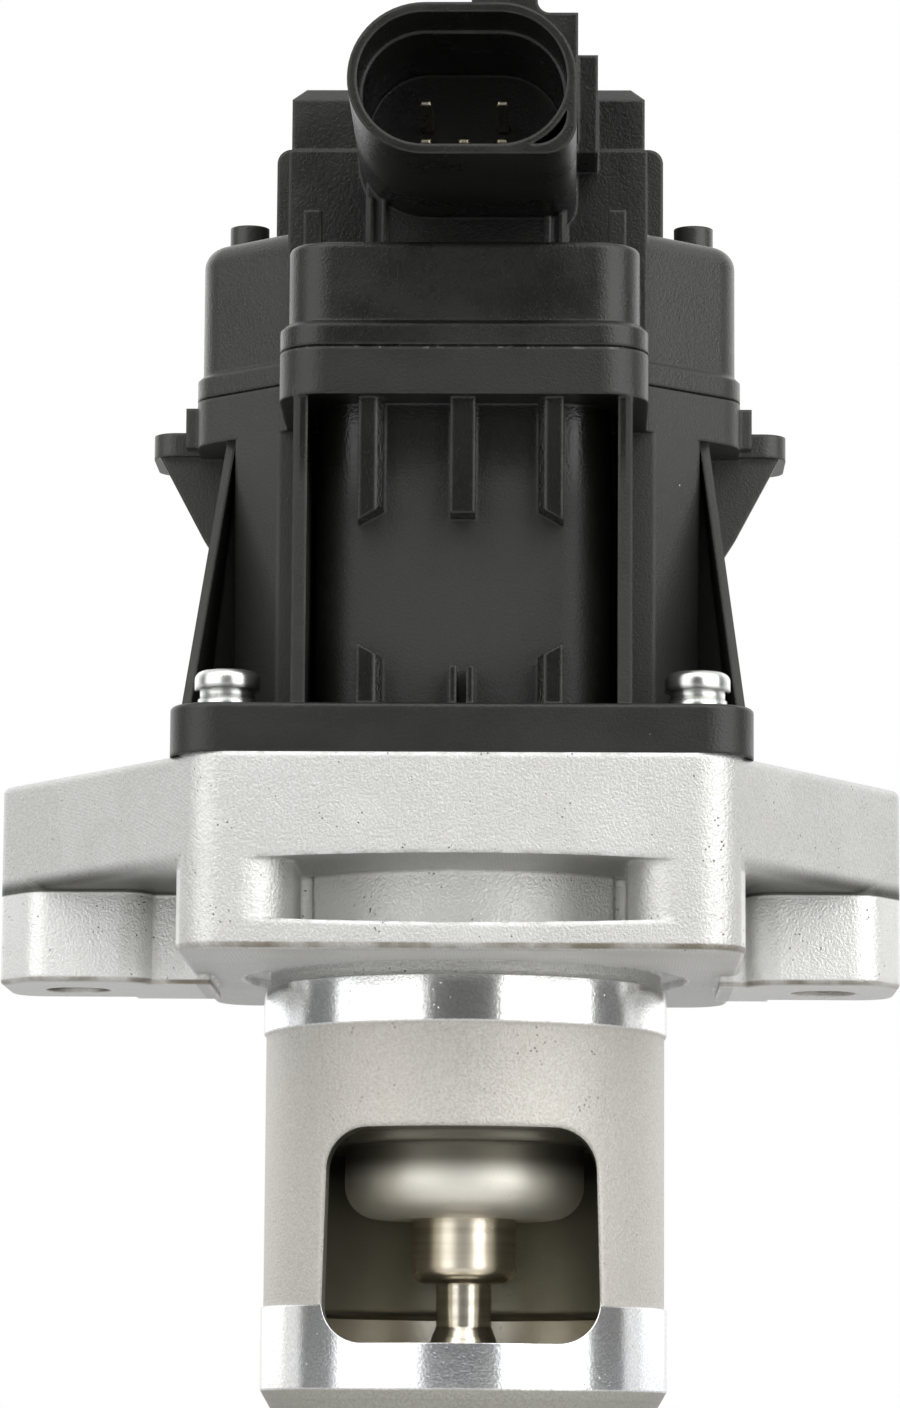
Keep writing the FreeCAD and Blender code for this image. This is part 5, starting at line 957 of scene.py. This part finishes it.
# %% Sheet, laminations and wire
dress(turned_metal("pressed_sheet", rgb(0.50, 0.51, 0.53), rgb(0.68, 0.69, 0.70), 0.26, 0.40,
                   feed=1500.0, ring_depth=0.00001),
      "motor_can", "motor_plate", "spring_retainer")
dress(turned_metal("laminated_core", rgb(0.22, 0.22, 0.24), rgb(0.42, 0.42, 0.44), 0.36, 0.50,
                   feed=6000.0, ring_depth=0.00010),
      "armature_core")
spring_wire = turned_metal("spring_wire", rgb(0.20, 0.20, 0.21), rgb(0.34, 0.34, 0.35), 0.28, 0.40)
dress(spring_wire, "return_spring")

# %% [markdown]
# ## The return spring
# A coil spring under the retainer closes the valve. When the motor opens it, the retainer comes
# down and the coil gets shorter. A mesh of the same size stands for the rigid CAD solid: we lay
# rings of points along a helix, each square to the wire, and join them. The lower end stays on
# the floor of its cavity.

# %% Mesh of the coil
SPRING_WIRE = 0.0018
SPRING_TURNS = 3.5
COIL_STEPS = 126
COIL_SIDES = 14


def coil_mesh(low, high, outer_radius):
    """A round wire wound about the Z axis between two heights, closed at both ends."""
    radius = outer_radius - SPRING_WIRE / 2
    start, climb = low + SPRING_WIRE / 2, high - low - SPRING_WIRE
    slope = math.atan2(climb / SPRING_TURNS, 2 * math.pi * radius)
    points, faces = [], []
    for i in range(COIL_STEPS + 1):
        turn = 2 * math.pi * SPRING_TURNS * i / COIL_STEPS
        outward = Vector((math.cos(turn), math.sin(turn), 0))
        forward = Vector((-math.sin(turn), math.cos(turn), 0))
        across = Vector((0, 0, math.cos(slope))) - forward * math.sin(slope)
        centre = outward * radius + Vector((0, 0, start + climb * i / COIL_STEPS))
        for k in range(COIL_SIDES):
            a = 2 * math.pi * k / COIL_SIDES
            points.append(centre + (outward * math.cos(a) + across * math.sin(a)) * SPRING_WIRE / 2)
    for i in range(COIL_STEPS):
        for k in range(COIL_SIDES):
            here, beside = i * COIL_SIDES + k, i * COIL_SIDES + (k + 1) % COIL_SIDES
            faces.append((here, here + COIL_SIDES, beside + COIL_SIDES, beside))
    faces.append(tuple(range(COIL_SIDES)))
    faces.append(tuple(COIL_STEPS * COIL_SIDES + k for k in reversed(range(COIL_SIDES))))
    mesh = bpy.data.meshes.new("return_spring_coil")
    mesh.from_pydata(points, [], faces)
    mesh.shade_smooth()
    return mesh


print("coil of", SPRING_TURNS, "turns of", SPRING_WIRE * 1000, "mm wire")

# %% Coil in place of the CAD spring
spring_low, spring_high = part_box("return_spring")
coil = bpy.data.objects.new("return_spring_coil",
                            coil_mesh(spring_low.z, spring_high.z, spring_high.x))
bpy.context.scene.collection.objects.link(coil)
coil.data.materials.append(spring_wire)
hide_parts("return_spring")
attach(coil, "valve_unit")
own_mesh(coil)

# %% [markdown]
# ## Contacts and copper
# The five blades in the socket are tinned brass: pale gold with a soft gloss. The windings are
# enamelled copper, whose turns show as close rings round each pole.

# %% Contacts and copper
dress(turned_metal("tinned_brass", rgb(0.62, 0.55, 0.40), rgb(0.86, 0.80, 0.64), 0.20, 0.32,
                   feed=3000.0, ring_depth=0.00001),
      "terminal_pins", "motor_terminals", "brush_arms")
dress(turned_metal("copper_turns", rgb(0.36, 0.13, 0.06), rgb(0.66, 0.28, 0.13), 0.28, 0.42,
                   feed=3200.0, ring_depth=0.00022),
      "armature_windings", "commutator")

# %% [markdown]
# ## Plain inner materials
# Magnets and brushes are matt ferrite and carbon, seals are rubber, the small gear is natural
# acetal and the board is green solder resist. They hide inside, yet a cutaway shows them, so each
# gets grain and slow changes of shade as well.

# %% Non-metals inside
def plain_matt(name, dark, light, rough_low, rough_high, fine=3000.0, depth=0.00005, coat=0.0):
    made = new_material(name)
    tree = made.node_tree
    place = own_place(tree)
    grain = place_group(tree, grain_group, Place=place, Fine=fine, Coarse=fine * 0.2,
                        Coarse_Share=0.4, Pit_Share=0.2)
    stains = place_group(tree, stain_group, Place=place, Size=90.0, Contrast=1.0)
    color = blend(tree, stains["Mask"], dark, light)
    color = blend(tree, calc(tree, "MULTIPLY", grain["Speckle"], 0.25), color, light)
    rough = spread(tree, stains["Mask"], 0.0, 1.0, rough_low, rough_high, smooth=False)
    finish_shader(made, color, rough, 0.0, grain["Height"], depth, coat=coat)
    return made


dress(plain_matt("ferrite", rgb(0.030, 0.030, 0.033), rgb(0.060, 0.060, 0.064), 0.55, 0.70),
      "motor_magnets", "sensor_magnet", "motor_brushes")
dress(plain_matt("natural_acetal", rgb(0.66, 0.63, 0.55), rgb(0.78, 0.76, 0.69), 0.32, 0.42),
      "idler_gear")
dress(plain_matt("seal_rubber", rgb(0.012, 0.012, 0.012), rgb(0.024, 0.024, 0.024), 0.55, 0.70),
      "base_seal", "stem_seal", "cover_seal")
dress(plain_matt("solder_resist", rgb(0.010, 0.075, 0.032), rgb(0.016, 0.110, 0.050), 0.25, 0.35,
                 fine=1500.0, depth=0.00002, coat=0.3),
      "sensor_board")
bare = [name for name, thing in node.items() if not thing.data.materials]
print("nodes without a finish:", bare)
